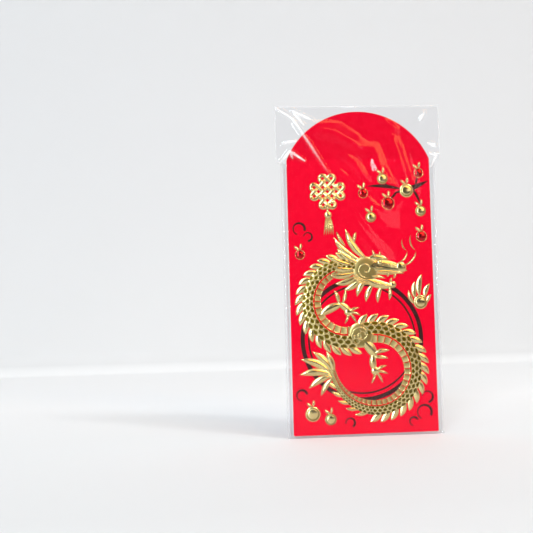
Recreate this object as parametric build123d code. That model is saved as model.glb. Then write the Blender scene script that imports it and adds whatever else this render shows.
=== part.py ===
"""Red paper gift envelope with a gold embossed front, standing in its clear film sleeve.

Millimetres, +Z up, the printed front faces -Y, and the origin is the bottom centre of the sleeve.
"""
from build123d import *
import os
from math import cos, hypot, radians, sin

# Envelope
envelope_width = 90.0
body_height = 170.0
flap_height = 30.0
paper_thickness = 0.3
corner_chamfer = 0.6
pocket_clearance = 0.2
glue_thickness = 0.1
seam_overlap = 12.0
seam_glue_width = 8.0
seam_glue_end = 10.0
wing_top_drop = 5.0
wing_notch_depth = 8.0
fold_relief = 0.2
bottom_flap_height = 18.0
bottom_flap_taper = 7.0
bottom_glue_height = 10.0
bottom_glue_margin = 6.0

# Foil on the front panel
relief_height = 0.8
low_relief_height = 0.5
flat_foil_thickness = 0.05

# Film sleeve
film_thickness = 0.1
film_clearance = 0.25
sleeve_side_clearance = 2.0
weld_width = 1.5
bottom_weld_height = 1.2
seat_clearance = 0.2
mouth_drop = 2.0
lip_width = 104.0
lip_height = 33.5
crease_gap = 0.15

# The artwork is drawn on a grid that spans the front panel, with its origin at the panel's bottom centre
art_grid_width = 90.0
art_grid_height = 170.0
smallest_patch = 0.6

# Dragon's body, in grid units: two rings of an S and the tail
front_ring_centre = (-10.0, 81.0)
front_ring_radius = 22.0
neck_angle = 75.0
neck_width = 10.0
trunk_width = 14.0
hind_ring_radius = 23.3
hind_ring_angle = 292.0
rump_angle = -100.0
rump_width = 9.0
tail_radius = 28.0
tail_end_angle = -172.0
tail_end_width = 3.5
haunch_radius = 8.0

# Back fins
fin_step_angle = 11.5
fin_sweep_angle = 15.0
fin_length = 4.2
fin_width = 4.0
fin_bend = 0.8
fin_root_depth = 2.6

# Dragon's head, drawn from the end of the neck: forward, then up
head_tilt = -6.0
cheek = ((6.9, -0.6), 8.3)
nose = ((29.0, 2.8), 3.3)
chin = ((24.6, -8.5), 2.2)
eye = ((15.2, 4.5), 2.0)
head_strokes = [
    ((1.1, 1.1), (33.3, 1.1), 9.7, 0.7),
    ((9.2, -2.1), (31.0, -0.7), 3.0, 0.8),
    ((4.0, -5.2), (27.0, -9.2), 5.5, -1.7),
    ((6.9, 5.8), (20.7, 6.9), 3.9, 1.4),
    ((26.0, -0.7), (24.8, -4.8), 1.7, 0.2),
    ((21.4, -1.0), (20.7, -4.1), 1.6, 0.2),
    ((22.3, -7.6), (23.7, -3.9), 1.6, -0.2),
    ((8.0, -4.6), (20.1, -5.1), 2.1, 0.6),
    ((8.0, -6.9), (2.9, -17.8), 3.7, -1.4),
    ((12.6, -8.7), (8.6, -20.7), 3.4, -1.1),
    ((17.8, -9.9), (16.1, -20.7), 3.0, -0.9),
    ((22.4, -9.7), (23.0, -18.4), 2.5, 0.7),
]
horn_strokes = [
    ((8.0, 5.8), (-7.5, 23.6), 4.4, 2.5),
    ((3.4, 5.3), (-14.4, 17.8), 3.9, 2.3),
    ((-1.4, 15.2), (-0.7, 22.4), 2.3, 0.5),
    ((-6.4, 12.6), (-13.2, 21.8), 2.2, 0.7),
]
mane_strokes = [
    ((3.4, 3.4), (-12.1, 10.9), 4.1, 1.5),
    ((2.3, 1.8), (-16.1, 5.8), 4.4, 1.7),
    ((1.1, 0.0), (-17.2, 0.0), 4.6, 1.6),
    ((1.1, -2.3), (-15.5, -6.0), 4.4, 1.4),
    ((2.3, -4.6), (-11.5, -11.0), 4.1, 1.4),
    ((4.0, -6.4), (-5.8, -14.5), 3.9, 1.1),
]
whisker_strokes = [
    ((30.4, 3.9), (37.9, 13.8), 1.4, -2.0),
    ((37.9, 13.8), (34.0, 24.1), 1.1, 2.1),
    ((27.1, 5.3), (32.2, 13.3), 1.3, -1.6),
    ((32.2, 13.3), (28.7, 20.7), 1.0, 1.6),
]

# Legs from the shoulder and the haunch, and the tuft from the tail's end, in grid units
shoulder_angle = 205.0
shoulder_depth = 6.0
front_paw = ((15.5, 0.8), 2.7)
hind_paw = ((8.3, -22.4), 2.7)
front_leg_strokes = [
    ((-3.0, -1.6), (12.5, 5.6), 5.4, 1.2),
    ((8.5, 6.6), (17.3, -0.6), 4.4, 0.8),
    ((15.5, 0.8), (22.5, 3.2), 1.9, 0.6),
    ((15.5, 0.8), (23.1, -1.6), 1.9, 0.5),
    ((15.5, 0.8), (20.3, -6.4), 1.9, 0.5),
    ((15.5, 0.8), (12.9, -6.6), 1.8, 0.5),
    ((9.5, 5.4), (6.9, 14.4), 2.6, -0.8),
    ((11.5, 5.6), (13.9, 14.8), 2.4, -0.8),
]
hind_leg_strokes = [
    ((-0.2, -2.6), (8.8, -15.6), 6.4, 1.6),
    ((7.2, -10.6), (8.2, -23.6), 4.4, -0.8),
    ((8.3, -22.4), (16.0, -19.2), 1.9, 0.6),
    ((8.3, -22.4), (16.4, -24.4), 1.9, 0.5),
    ((8.3, -22.4), (12.8, -30.0), 1.9, 0.5),
    ((8.3, -22.4), (5.4, -30.4), 1.8, 0.5),
    ((7.4, -12.0), (17.8, -10.0), 2.8, 0.9),
    ((7.4, -14.2), (16.8, -15.0), 2.4, 0.7),
]
tuft_strokes = [
    ((0.3, -3.2), (-3.7, 11.3), 4.2, -1.0),
    ((0.1, -2.7), (-12.1, 11.3), 4.6, -1.6),
    ((-0.3, -2.3), (-19.5, 6.7), 4.8, -1.7),
    ((-0.3, -2.7), (-20.5, -2.7), 4.6, -1.5),
    ((-0.1, -3.7), (-15.1, -11.1), 4.0, -1.4),
    ((0.3, -4.7), (-7.7, -15.9), 3.4, -1.0),
]

# Pearl, in grid units
pearl = ((36.4, 80.0), 4.4)
pearl_strokes = [
    ((32.6, 78.6), (29.0, 87.6), 2.6, 0.8),
    ((33.4, 82.0), (33.2, 93.0), 3.2, 1.0),
    ((36.0, 83.4), (37.8, 97.4), 3.8, 1.2),
    ((39.0, 82.2), (42.6, 91.4), 3.2, 0.9),
    ((40.4, 79.0), (43.4, 84.6), 2.4, 0.7),
]

# Knot and tassel, in grid units
knot_centre = (-20.0, 150.0)
knot_pitch = 3.9
knot_cord_width = 2.4
knot_bars = (-1.5, -0.5, 0.5, 1.5)
knot_turn = 45.0
hanger_length = 4.6
tassel_cap_radius = 2.3
tassel_length = 13.0
tassel_spread = 3.0
tassel_strands = 5
tassel_strand_width = 1.5
tassel_strand_bend = 0.3

# Fruits: centre, radius
gold_fruit_list = [
    ((-33.0, 13.0), 4.7),
    ((-22.0, 9.4), 3.7),
    ((30.0, 150.0), 4.4),
    ((15.0, 157.6), 3.5),
    ((38.6, 137.0), 3.5),
    ((7.0, 133.6), 3.4),
]
red_fruit_list = [
    ((18.0, 142.0), 4.2),
    ((38.0, 161.0), 3.2),
    ((2.4, 148.6), 3.2),
    ((38.4, 121.0), 3.6),
    ((-38.2, 111.0), 3.2),
]
fruit_rim_width = 0.55
fruit_leaf_strokes = [
    ((-0.2, 0.0), (-3.6, 2.6), 1.7, 0.3),
    ((0.1, 0.0), (0.7, 4.2), 1.7, -0.2),
]
fruit_leaf_seat = 0.2

# Flat bronze foil, in grid units
moon_ring_centre = (-1.0, 58.0)
moon_rings = ((37.0, 2.6), (33.2, 1.0))
branch_strokes = [
    ((44.0, 156.0), (22.0, 148.6), 3.2, 0.9),
    ((28.0, 150.6), (5.0, 153.0), 2.2, -1.0),
    ((33.0, 152.2), (38.6, 141.0), 1.6, 0.6),
    ((24.0, 149.6), (19.6, 145.0), 1.4, 0.3),
    ((36.0, 153.4), (37.6, 158.4), 1.3, 0.3),
    ((21.0, 151.4), (16.0, 155.0), 1.4, 0.3),
]
scroll_arcs = [
    ((36.5, 12.0), 4.4, -30.0, 240.0, 1.4, 0.8),
    ((38.6, 21.4), 3.4, -80.0, 170.0, 1.3, 0.7),
    ((29.6, 6.6), 2.6, 20.0, 260.0, 1.2, 0.7),
    ((-39.4, 24.6), 3.2, 10.0, 270.0, 1.3, 0.7),
    ((-10.0, 7.0), 2.8, -60.0, 190.0, 1.2, 0.7),
    ((-38.4, 127.0), 3.6, -20.0, 250.0, 1.4, 0.8),
    ((-33.0, 122.0), 2.6, -90.0, 170.0, 1.2, 0.7),
]

# Depths from the front, -Y, to the back
tongue_depth = paper_thickness + glue_thickness
pocket_depth = tongue_depth + pocket_clearance
front_depth = film_thickness + film_clearance + relief_height
paper_depth = paper_thickness * 3 + pocket_depth + glue_thickness
sleeve_depth = front_depth + paper_depth + film_clearance + film_thickness
sleeve_front_y = -sleeve_depth / 2
sleeve_back_y = sleeve_depth / 2
panel_front_y = sleeve_front_y + front_depth
panel_back_y = panel_front_y + paper_thickness
wing_front_y = panel_back_y + pocket_depth
wing_back_y = wing_front_y + paper_thickness
bottom_flap_front_y = wing_back_y + glue_thickness
front_film_back_y = sleeve_front_y + film_thickness
back_film_front_y = sleeve_back_y - film_thickness

# Heights and half widths
half_width = envelope_width / 2
sleeve_half_width = half_width + sleeve_side_clearance
sleeve_floor_z = bottom_weld_height + film_thickness
envelope_z = sleeve_floor_z + seat_clearance
crease_z = envelope_z + body_height
wing_bottom_z = envelope_z + paper_thickness + fold_relief
wing_top_z = crease_z - wing_top_drop
art_unit = min(envelope_width / art_grid_width, body_height / art_grid_height)
panel_plane = Plane(origin=(0, panel_front_y, envelope_z), x_dir=(1, 0, 0), z_dir=(0, -1, 0))

nodes = {}


def plate(x_low, x_high, y_low, y_high, z_low, z_high):
    """A flat rectangular sheet between two corners."""
    middle = Pos((x_low + x_high) / 2, (y_low + y_high) / 2, (z_low + z_high) / 2)
    return middle * Box(x_high - x_low, y_high - y_low, z_high - z_low)


def upright_sheet(outline, front_y, thickness):
    """Extrude an outline drawn in X and Z into a sheet whose front is at front_y."""
    plane = Plane(origin=(0, front_y + thickness, 0), x_dir=(1, 0, 0), z_dir=(0, -1, 0))
    return extrude(plane * outline, thickness)


def polar(centre, radius, angle):
    """The point at a radius and an angle, in degrees, from a centre."""
    return (centre[0] + radius * cos(radians(angle)), centre[1] + radius * sin(radians(angle)))


def stroke(base, tip, width, bend):
    """A leaf-shaped stroke between two points, of two arcs, that bends to its left."""
    run_x = tip[0] - base[0]
    run_z = tip[1] - base[1]
    length = hypot(run_x, run_z)
    middle = ((base[0] + tip[0]) / 2, (base[1] + tip[1]) / 2)

    def crown(offset):
        return (middle[0] - run_z / length * offset, middle[1] + run_x / length * offset)

    left_edge = ThreePointArc(base, crown(bend + width / 2), tip)
    right_edge = ThreePointArc(tip, crown(bend - width / 2), base)
    return make_face([left_edge, right_edge])


def strokes(stroke_list):
    """All strokes of a list as one outline."""
    return Sketch() + [stroke(*values) for values in stroke_list]


def drawn_from(origin, stroke_list, paw=None):
    """Strokes given from an origin, with the round paw of a leg, as one outline."""
    outline = strokes(stroke_list)
    if paw:
        outline += disc(*paw)
    return Pos(*origin) * outline


def disc(centre, radius):
    """A round outline at a centre."""
    return Pos(*centre) * Circle(radius)


def arc_band(centre, radius, start, end, start_width, end_width):
    """A band along an arc, with a width that changes from its start to its end."""
    middle = (start + end) / 2
    middle_width = (start_width + end_width) / 2
    outer = ThreePointArc(
        polar(centre, radius + start_width / 2, start),
        polar(centre, radius + middle_width / 2, middle),
        polar(centre, radius + end_width / 2, end),
    )
    inner = ThreePointArc(
        polar(centre, radius - end_width / 2, end),
        polar(centre, radius - middle_width / 2, middle),
        polar(centre, radius - start_width / 2, start),
    )
    return make_face([outer, Line(outer @ 1, inner @ 0), inner, Line(inner @ 1, outer @ 0)])


def head_point(point):
    """A point of the head, given forward and up from the end of the neck, on the art grid."""
    neck_end = polar(front_ring_centre, front_ring_radius, neck_angle)
    turn_cos = cos(radians(head_tilt))
    turn_sin = sin(radians(head_tilt))
    forward = point[0] * turn_cos - point[1] * turn_sin
    upward = point[0] * turn_sin + point[1] * turn_cos
    return (neck_end[0] + forward, neck_end[1] + upward)


def head_shape(stroke_list):
    """Strokes given in the head's own directions, as one outline."""
    outlines = []
    for base, tip, width, bend in stroke_list:
        outlines.append(stroke(head_point(base), head_point(tip), width, bend))
    return Sketch() + outlines


def fins(centre, radius, start, end, start_width, end_width, size):
    """Swept-back fins along the outer edge of a body arc, from its start to its end."""
    turn = 1 if end > start else -1
    count = int(abs(end - start) / fin_step_angle)
    outlines = []
    for index in range(count):
        angle = start + turn * fin_step_angle * index
        share = index / count
        edge = radius + (start_width + (end_width - start_width) * share) / 2
        root = polar(centre, edge - fin_root_depth, angle)
        tip = polar(centre, edge + fin_length * size, angle + turn * fin_sweep_angle)
        outlines.append(stroke(root, tip, fin_width * size, -turn * fin_bend))
    return outlines


def knot_loop(centre, start):
    """The half ring that joins the ends of two neighbouring cords of the knot."""
    return arc_band(centre, knot_pitch / 2, start, start + 180, knot_cord_width, knot_cord_width)


def knot_outline():
    """A woven knot: crossing cords joined by half rings, turned to stand on its corner."""
    half = knot_pitch * 2
    cords = []
    for position in knot_bars:
        cords.append(Pos(0, position * knot_pitch) * Rectangle(half * 2, knot_cord_width))
        cords.append(Pos(position * knot_pitch, 0) * Rectangle(knot_cord_width, half * 2))
    for place in (-knot_pitch, knot_pitch):
        for side in (-1, 1):
            side_turn = 90 * side
            cords.append(knot_loop((side * half, place), -side_turn))
            cords.append(knot_loop((place, side * half), 90 - side_turn))
    return Pos(*knot_centre) * (Rot(0, 0, knot_turn) * (Sketch() + cords))


def tassel_outline():
    """The cord below the knot, its round cap and the strands that hang from it."""
    top = knot_centre[1] - (knot_pitch * knot_bars[-1] + knot_cord_width / 2) * 2 ** 0.5
    cap_z = top - hanger_length
    cord = Pos(knot_centre[0], (top + cap_z) / 2) * Rectangle(knot_cord_width / 2, hanger_length * 2)
    shapes = [cord, disc((knot_centre[0], cap_z), tassel_cap_radius)]
    middle = (tassel_strands - 1) / 2
    for index in range(tassel_strands):
        lean = (index - middle) / middle
        base = (knot_centre[0] + lean * tassel_cap_radius / 2, cap_z)
        tip = (knot_centre[0] + lean * tassel_spread, cap_z - tassel_length)
        shapes.append(stroke(base, tip, tassel_strand_width, tassel_strand_bend))
    return Sketch() + shapes


def fruit_leaves(centre, radius):
    """The pair of leaves on top of a fruit."""
    top = (centre[0], centre[1] + radius - fruit_leaf_seat)
    moved = []
    for base, tip, width, bend in fruit_leaf_strokes:
        start = (top[0] + base[0], top[1] + base[1])
        finish = (top[0] + tip[0], top[1] + tip[1])
        moved.append(stroke(start, finish, width, bend))
    return moved


# Envelope panels
panel_outline = Polygon(
    (-half_width, envelope_z + corner_chamfer),
    (-half_width + corner_chamfer, envelope_z),
    (half_width - corner_chamfer, envelope_z),
    (half_width, envelope_z + corner_chamfer),
    (half_width, crease_z),
    (-half_width, crease_z),
    align=None,
)
nodes["front_panel"] = upright_sheet(panel_outline, panel_front_y, paper_thickness)

flap_z = crease_z + crease_gap
flap_arc = ThreePointArc((-half_width, flap_z), (0, crease_z + flap_height), (half_width, flap_z))
flap_outline = make_face([flap_arc, Line(flap_arc @ 1, flap_arc @ 0)])
nodes["top_flap"] = upright_sheet(flap_outline, panel_front_y, paper_thickness)

for side, name in ((-1, "left"), (1, "right")):
    inner_x = side * (half_width - paper_thickness)
    nodes[name + "_side_fold"] = plate(
        min(inner_x, side * half_width), max(inner_x, side * half_width),
        panel_back_y, wing_front_y, envelope_z + corner_chamfer, wing_top_z,
    )

# Wings of the back, with a shallow dip in their top edge and a stepped tongue under the seam
notch_arc = ThreePointArc(
    (-half_width, wing_top_z), (0, wing_top_z - wing_notch_depth), (half_width, wing_top_z)
)
wing_outline = make_face([
    notch_arc,
    Line((half_width, wing_top_z), (half_width, wing_bottom_z)),
    Line((half_width, wing_bottom_z), (-half_width, wing_bottom_z)),
    Line((-half_width, wing_bottom_z), (-half_width, wing_top_z)),
])
wing_blank = upright_sheet(wing_outline, wing_front_y - tongue_depth, tongue_depth + paper_thickness)
tongue_front_y = wing_front_y - tongue_depth
tongue_back_y = tongue_front_y + paper_thickness
seam_left_x = -seam_overlap / 2
seam_right_x = seam_overlap / 2
step_x = seam_left_x - tongue_depth
left_profile = Polygon(
    (-half_width, wing_front_y), (step_x - paper_thickness, wing_front_y),
    (seam_left_x - paper_thickness, tongue_front_y), (seam_right_x, tongue_front_y),
    (seam_right_x, tongue_back_y), (seam_left_x, tongue_back_y),
    (step_x, wing_back_y), (-half_width, wing_back_y),
    align=None,
)
left_prism = extrude(Plane.XY.offset(wing_bottom_z) * left_profile, wing_top_z - wing_bottom_z)
nodes["left_wing"] = left_prism & wing_blank
right_blank = plate(seam_left_x, half_width, wing_front_y, wing_back_y, wing_bottom_z, wing_top_z)
nodes["right_wing"] = right_blank & wing_blank
nodes["centre_seam_glue"] = plate(
    -seam_glue_width / 2, seam_glue_width / 2, tongue_back_y, wing_front_y,
    wing_bottom_z + seam_glue_end, wing_top_z - wing_notch_depth - seam_glue_end,
)

# Bottom flap, folded up over the wings
flap_foot_half = half_width - corner_chamfer - fold_relief
flap_head_half = flap_foot_half - bottom_flap_taper
bottom_flap_outline = Polygon(
    (-flap_foot_half, envelope_z), (flap_foot_half, envelope_z),
    (flap_head_half, envelope_z + bottom_flap_height), (-flap_head_half, envelope_z + bottom_flap_height),
    align=None,
)
nodes["bottom_flap"] = upright_sheet(bottom_flap_outline, bottom_flap_front_y, paper_thickness)
nodes["bottom_fold"] = plate(
    -flap_foot_half, flap_foot_half, panel_back_y, bottom_flap_front_y,
    envelope_z, envelope_z + paper_thickness,
)
glue_half = flap_head_half - bottom_glue_margin
glue_top_z = envelope_z + bottom_flap_height - fold_relief
nodes["bottom_flap_glue"] = plate(
    -glue_half, glue_half, wing_back_y, bottom_flap_front_y, glue_top_z - bottom_glue_height, glue_top_z,
)

# Outlines of the gold foil, from the one that lies on top to the one at the bottom
hind_ring_centre = polar(front_ring_centre, front_ring_radius + hind_ring_radius, hind_ring_angle)
hind_start_angle = hind_ring_angle - 180
rump_point = polar(hind_ring_centre, hind_ring_radius, rump_angle)
tail_centre = polar(rump_point, -tail_radius, rump_angle)
haunch = polar(front_ring_centre, front_ring_radius, hind_ring_angle)
shoulder = polar(front_ring_centre, front_ring_radius - shoulder_depth, shoulder_angle)
tail_end = polar(tail_centre, tail_radius, tail_end_angle)

front_arc = (front_ring_centre, front_ring_radius, neck_angle, hind_ring_angle, neck_width, trunk_width)
hind_arc = (hind_ring_centre, hind_ring_radius, hind_start_angle, rump_angle, trunk_width, rump_width)
tail_arc = (tail_centre, tail_radius, rump_angle, tail_end_angle, rump_width, tail_end_width)
head_discs = [disc(head_point(centre), radius) for centre, radius in (cheek, nose, chin, eye)]
gold_fruit = Sketch() + [disc(centre, radius) for centre, radius in gold_fruit_list]
red_fruit = Sketch() + [disc(centre, radius - fruit_rim_width) for centre, radius in red_fruit_list]
whole_red_fruit = Sketch() + [disc(centre, radius) for centre, radius in red_fruit_list]
leaf_outlines = []
for fruit_centre, fruit_radius in gold_fruit_list + red_fruit_list:
    leaf_outlines += fruit_leaves(fruit_centre, fruit_radius)

gold_layers = [
    ("dragon_head", head_shape(head_strokes) + head_discs, relief_height),
    ("dragon_horns", head_shape(horn_strokes), relief_height),
    ("dragon_mane", head_shape(mane_strokes), relief_height),
    ("dragon_whiskers", head_shape(whisker_strokes), low_relief_height),
    ("dragon_hind_leg", drawn_from(haunch, hind_leg_strokes, hind_paw) + disc(haunch, haunch_radius), relief_height),
    ("dragon_front_leg", drawn_from(shoulder, front_leg_strokes, front_paw), relief_height),
    ("dragon_front_body", arc_band(*front_arc), relief_height),
    ("dragon_hind_body", arc_band(*hind_arc) + arc_band(*tail_arc), relief_height),
    ("dragon_tail_tuft", drawn_from(tail_end, tuft_strokes), relief_height),
    ("dragon_back_fins", Sketch() + fins(*front_arc, 1.0) + fins(*hind_arc, 1.0) + fins(*tail_arc, 0.6),
     low_relief_height),
    ("flaming_pearl", disc(*pearl), relief_height),
    ("pearl_flames", strokes(pearl_strokes), low_relief_height),
    ("lucky_knot", knot_outline(), relief_height),
    ("knot_tassel", tassel_outline(), low_relief_height),
    ("gold_fruits", gold_fruit, relief_height),
    ("red_fruits", red_fruit, relief_height),
    ("red_fruit_rims", whole_red_fruit, low_relief_height),
    ("fruit_leaves", Sketch() + leaf_outlines, low_relief_height),
]


def emboss(outline, height):
    """Raise an outline of the art grid from the front panel."""
    patches = [face for face in outline.faces() if face.area > smallest_patch]
    return extrude(panel_plane * scale(Sketch() + patches, by=art_unit), height)


covered = Sketch()
for name, outline, height in gold_layers:
    nodes[name] = emboss(outline - covered, height)
    covered += outline

# Flat bronze foil, printed where the gold leaves room
moon_outline = Sketch()
for ring_radius, ring_width in moon_rings:
    moon_outline += disc(moon_ring_centre, ring_radius + ring_width / 2)
    moon_outline -= disc(moon_ring_centre, ring_radius - ring_width / 2)
bronze_layers = [
    ("bronze_moon_ring", moon_outline),
    ("bronze_branch", strokes(branch_strokes)),
    ("bronze_scrolls", Sketch() + [arc_band(*values) for values in scroll_arcs]),
]
for name, outline in bronze_layers:
    nodes[name] = emboss(outline - covered, flat_foil_thickness)
    covered += outline

# Film sleeve: films, sides, floor and weld fins
back_film_top_z = crease_z - mouth_drop
film_half_width = sleeve_half_width + film_thickness
nodes["sleeve_front_film"] = plate(
    -film_half_width, film_half_width, sleeve_front_y, front_film_back_y, bottom_weld_height, crease_z
)
nodes["sleeve_back_film"] = plate(
    -film_half_width, film_half_width, back_film_front_y, sleeve_back_y, bottom_weld_height, back_film_top_z
)
nodes["sleeve_floor"] = plate(
    -sleeve_half_width, sleeve_half_width, front_film_back_y, back_film_front_y,
    bottom_weld_height, sleeve_floor_z,
)
nodes["bottom_weld"] = plate(
    -sleeve_half_width, sleeve_half_width, -film_thickness, film_thickness, 0, bottom_weld_height
)
for side, name in ((-1, "left"), (1, "right")):
    wall_x = sorted((side * sleeve_half_width, side * film_half_width))
    weld_x = sorted((side * film_half_width, side * (film_half_width + weld_width)))
    nodes["sleeve_" + name + "_side"] = plate(
        *wall_x, front_film_back_y, back_film_front_y, bottom_weld_height, back_film_top_z
    )
    nodes[name + "_weld"] = plate(*weld_x, -film_thickness, film_thickness, bottom_weld_height, back_film_top_z)
nodes["lip_film"] = plate(
    -lip_width / 2, lip_width / 2, sleeve_front_y, front_film_back_y,
    crease_z + crease_gap, crease_z + lip_height,
)

os.makedirs("parts", exist_ok=True)
for name, solid in nodes.items():
    export_step(solid, "parts/" + name + ".step")
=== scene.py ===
"""Looks of a red gift envelope in its clear sleeve, as an add-on with one operator per group of pieces."""

from math import ceil, copysign, cos, exp, floor, hypot, log, pi, radians, sin, sqrt

import bmesh
import bpy
from bpy.props import FloatProperty, FloatVectorProperty, PointerProperty
from mathutils import Matrix, Vector, noise


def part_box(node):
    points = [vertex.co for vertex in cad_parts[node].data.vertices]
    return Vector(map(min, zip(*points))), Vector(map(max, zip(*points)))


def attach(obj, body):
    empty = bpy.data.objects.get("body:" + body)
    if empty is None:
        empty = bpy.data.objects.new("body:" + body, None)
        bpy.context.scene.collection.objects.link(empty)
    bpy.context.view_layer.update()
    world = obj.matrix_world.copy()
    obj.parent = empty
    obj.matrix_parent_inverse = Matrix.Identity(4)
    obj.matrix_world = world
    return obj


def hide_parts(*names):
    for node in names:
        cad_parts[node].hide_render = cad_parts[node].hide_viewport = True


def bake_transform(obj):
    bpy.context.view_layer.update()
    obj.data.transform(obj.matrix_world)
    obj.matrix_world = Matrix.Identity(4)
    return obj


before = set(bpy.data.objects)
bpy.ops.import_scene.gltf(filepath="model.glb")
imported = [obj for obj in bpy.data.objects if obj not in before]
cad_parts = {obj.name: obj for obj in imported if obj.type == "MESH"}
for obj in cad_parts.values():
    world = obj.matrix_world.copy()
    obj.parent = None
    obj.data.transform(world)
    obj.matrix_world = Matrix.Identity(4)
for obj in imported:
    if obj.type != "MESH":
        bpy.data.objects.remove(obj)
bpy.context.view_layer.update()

bl_info = {
    "name": "Red Envelope",
    "version": (1, 0, 0),
    "blender": (4, 5, 0),
    "location": "3D View > Sidebar > Envelope",
    "description": "Dresses a red gift envelope with raised gold foil, a folding flap and a clear sleeve",
    "category": "Object",
}

MM = 0.001
GOLD_NAME = "stamped_gold"

# Places and sizes that the frame gives, in metres
PANEL_LOW, PANEL_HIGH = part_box("front_panel")
PANEL_Y = PANEL_LOW.y
CARD = PANEL_HIGH.y - PANEL_LOW.y
CREASE_Z = PANEL_HIGH.z
FLAP_TOP_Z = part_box("top_flap")[1].z
FRONT_FILM_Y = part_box("sleeve_front_film")[0].y
BACK_FILM_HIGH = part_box("sleeve_back_film")[1]
LIP_LOW, LIP_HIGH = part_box("lip_film")
WELD_EDGE_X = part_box("right_weld")[1].x
RELIEF = (PANEL_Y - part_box("dragon_head")[0].y) / MM
LOW_RELIEF = (PANEL_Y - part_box("dragon_back_fins")[0].y) / MM

# Raised foil is drawn in millimetres from the bottom centre of the front panel
FOIL_SINK = 0.03
MERGE_GAP = 0.002
SLIVER = 0.001
SHARP_ANGLE = 50.0
SMOOTH_ANGLE = 180.0

# Hollows run from 0, on a crown, to 1, and darken the gold as painted shade: where the painted shade begins
# and where they are all satin, how rough satin is, and how deep flanks and feet are
FOIL_SHADE_DEPTH = 0.25
FOIL_SATIN_DEPTH = 0.5
FOIL_SATIN_ROUGHNESS = 0.4
FLANK_DEPTH = 0.5
FOOT_DEPTH = 0.4

# Strokes, lines and bosses: points, sharpness of ridges from round to a roof, how soon ends fill out, and
# shares of a boss
STROKE_STEPS = 16
STROKE_ROWS = 8
STROKE_FULLNESS = 0.6
ROUND_RIDGE = 0.3
PLAIN_RIDGE = 0.35
MIDDLE_RIDGE = 0.5
SHARP_RIDGE = 0.6
LEAF_RIDGE = 0.7
LINE_STEPS = 40
LINE_FULLNESS = 2.5
LINE_NEAR = 0.01
BOSS_RINGS = 10
BOSS_STEPS = 40
BOSS_RIM = 0.82
BOSS_RIM_RISE = 0.5
BOSS_HOLLOW = 0.5
BOSS_FOOT = 0.9
DISC_DEPTHS = (0.8, 0.2)
DISC_EDGE = 0.75
DIMPLE_FLOOR = 0.55
DIMPLE_EDGE = 0.85

# Dragon's body: two rings of an S and the tail
FRONT_RING_CENTRE = (-10.0, 81.0)
FRONT_RING_RADIUS = 22.0
NECK_ANGLE = 75.0
NECK_WIDTH = 10.0
TRUNK_WIDTH = 14.0
HIND_RING_RADIUS = 23.3
HIND_RING_ANGLE = 292.0
RUMP_ANGLE = -100.0
RUMP_WIDTH = 9.0
TAIL_RADIUS = 28.0
TAIL_END_ANGLE = -172.0
TAIL_END_WIDTH = 3.5
HAUNCH_RADIUS = 8.0

# Scales and belly plates: counts, and shares of the body's width, of a scale or of a plate
BELLY_EDGE = -0.22
BELLY_GAP = 0.07
SCALE_ROWS = 3
SCALE_PITCH = 0.31
SCALE_REACH = 0.74
SCALE_SQUASH = 0.92
SCALE_FLOOR = 0.1
# Painted shade in each scale's pocket, fading out towards its raised edge
SCALE_HOLLOW = (0.52, 0.95)
PLATE_PITCH = 0.4
PLATE_GAP = 0.07
PLATE_CELLS = 14
PLATE_ROUNDNESS = 0.9
PLATE_EDGE = 0.9
PLATE_BRIM = (0.72, 0.9)
PLATE_RISES = (0.55, 0.88)
PLATE_DEPTHS = (0.85, 0.35)
BODY_BRIM = 0.12

# Heights and mesh size of the body, in millimetres
BODY_RISE = 0.72
BODY_FLOOR = 0.12
BODY_CELL = 0.3
SCALE_STEP = 0.2

# Back fins, smaller on the tail
TAIL_FIN_SIZE = 0.6
FIN_STEP_ANGLE = 11.5
FIN_SWEEP_ANGLE = 15.0
FIN_LENGTH = 4.2
FIN_WIDTH = 4.0
FIN_BEND = 0.8
FIN_ROOT_DEPTH = 2.6

# Head, drawn from the end of the neck: forward, then up
HEAD_TILT = -6.0
CHEEK = ((6.9, -0.6), 8.3)
NOSE = ((29.0, 2.8), 3.3)
CHIN = ((24.6, -8.5), 2.2)
EYE = ((15.2, 4.5), 2.0)
DISC_RISE = 0.9
NOSE_RISE = 0.95
MANE_RISE = 1.05
HEAD_STROKES = [
    ((1.1, 1.1), (33.3, 1.1), 9.7, 0.7),
    ((9.2, -2.1), (31.0, -0.7), 3.0, 0.8),
    ((4.0, -5.2), (27.0, -9.2), 5.5, -1.7),
    ((6.9, 5.8), (20.7, 6.9), 3.9, 1.4),
    ((26.0, -0.7), (24.8, -4.8), 1.7, 0.2),
    ((21.4, -1.0), (20.7, -4.1), 1.6, 0.2),
    ((22.3, -7.6), (23.7, -3.9), 1.6, -0.2),
    ((8.0, -4.6), (20.1, -5.1), 2.1, 0.6),
    ((8.0, -6.9), (2.9, -17.8), 3.7, -1.4),
    ((12.6, -8.7), (8.6, -20.7), 3.4, -1.1),
    ((17.8, -9.9), (16.1, -20.7), 3.0, -0.9),
    ((22.4, -9.7), (23.0, -18.4), 2.5, 0.7),
]
HORN_STROKES = [
    ((8.0, 5.8), (-7.5, 23.6), 4.4, 2.5),
    ((3.4, 5.3), (-14.4, 17.8), 3.9, 2.3),
    ((-1.4, 15.2), (-0.7, 22.4), 2.3, 0.5),
    ((-6.4, 12.6), (-13.2, 21.8), 2.2, 0.7),
]
MANE_STROKES = [
    ((3.4, 3.4), (-12.1, 10.9), 4.1, 1.5),
    ((2.3, 1.8), (-16.1, 5.8), 4.4, 1.7),
    ((1.1, 0.0), (-17.2, 0.0), 4.6, 1.6),
    ((1.1, -2.3), (-15.5, -6.0), 4.4, 1.4),
    ((2.3, -4.6), (-11.5, -11.0), 4.1, 1.4),
    ((4.0, -6.4), (-5.8, -14.5), 3.9, 1.1),
]
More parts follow.
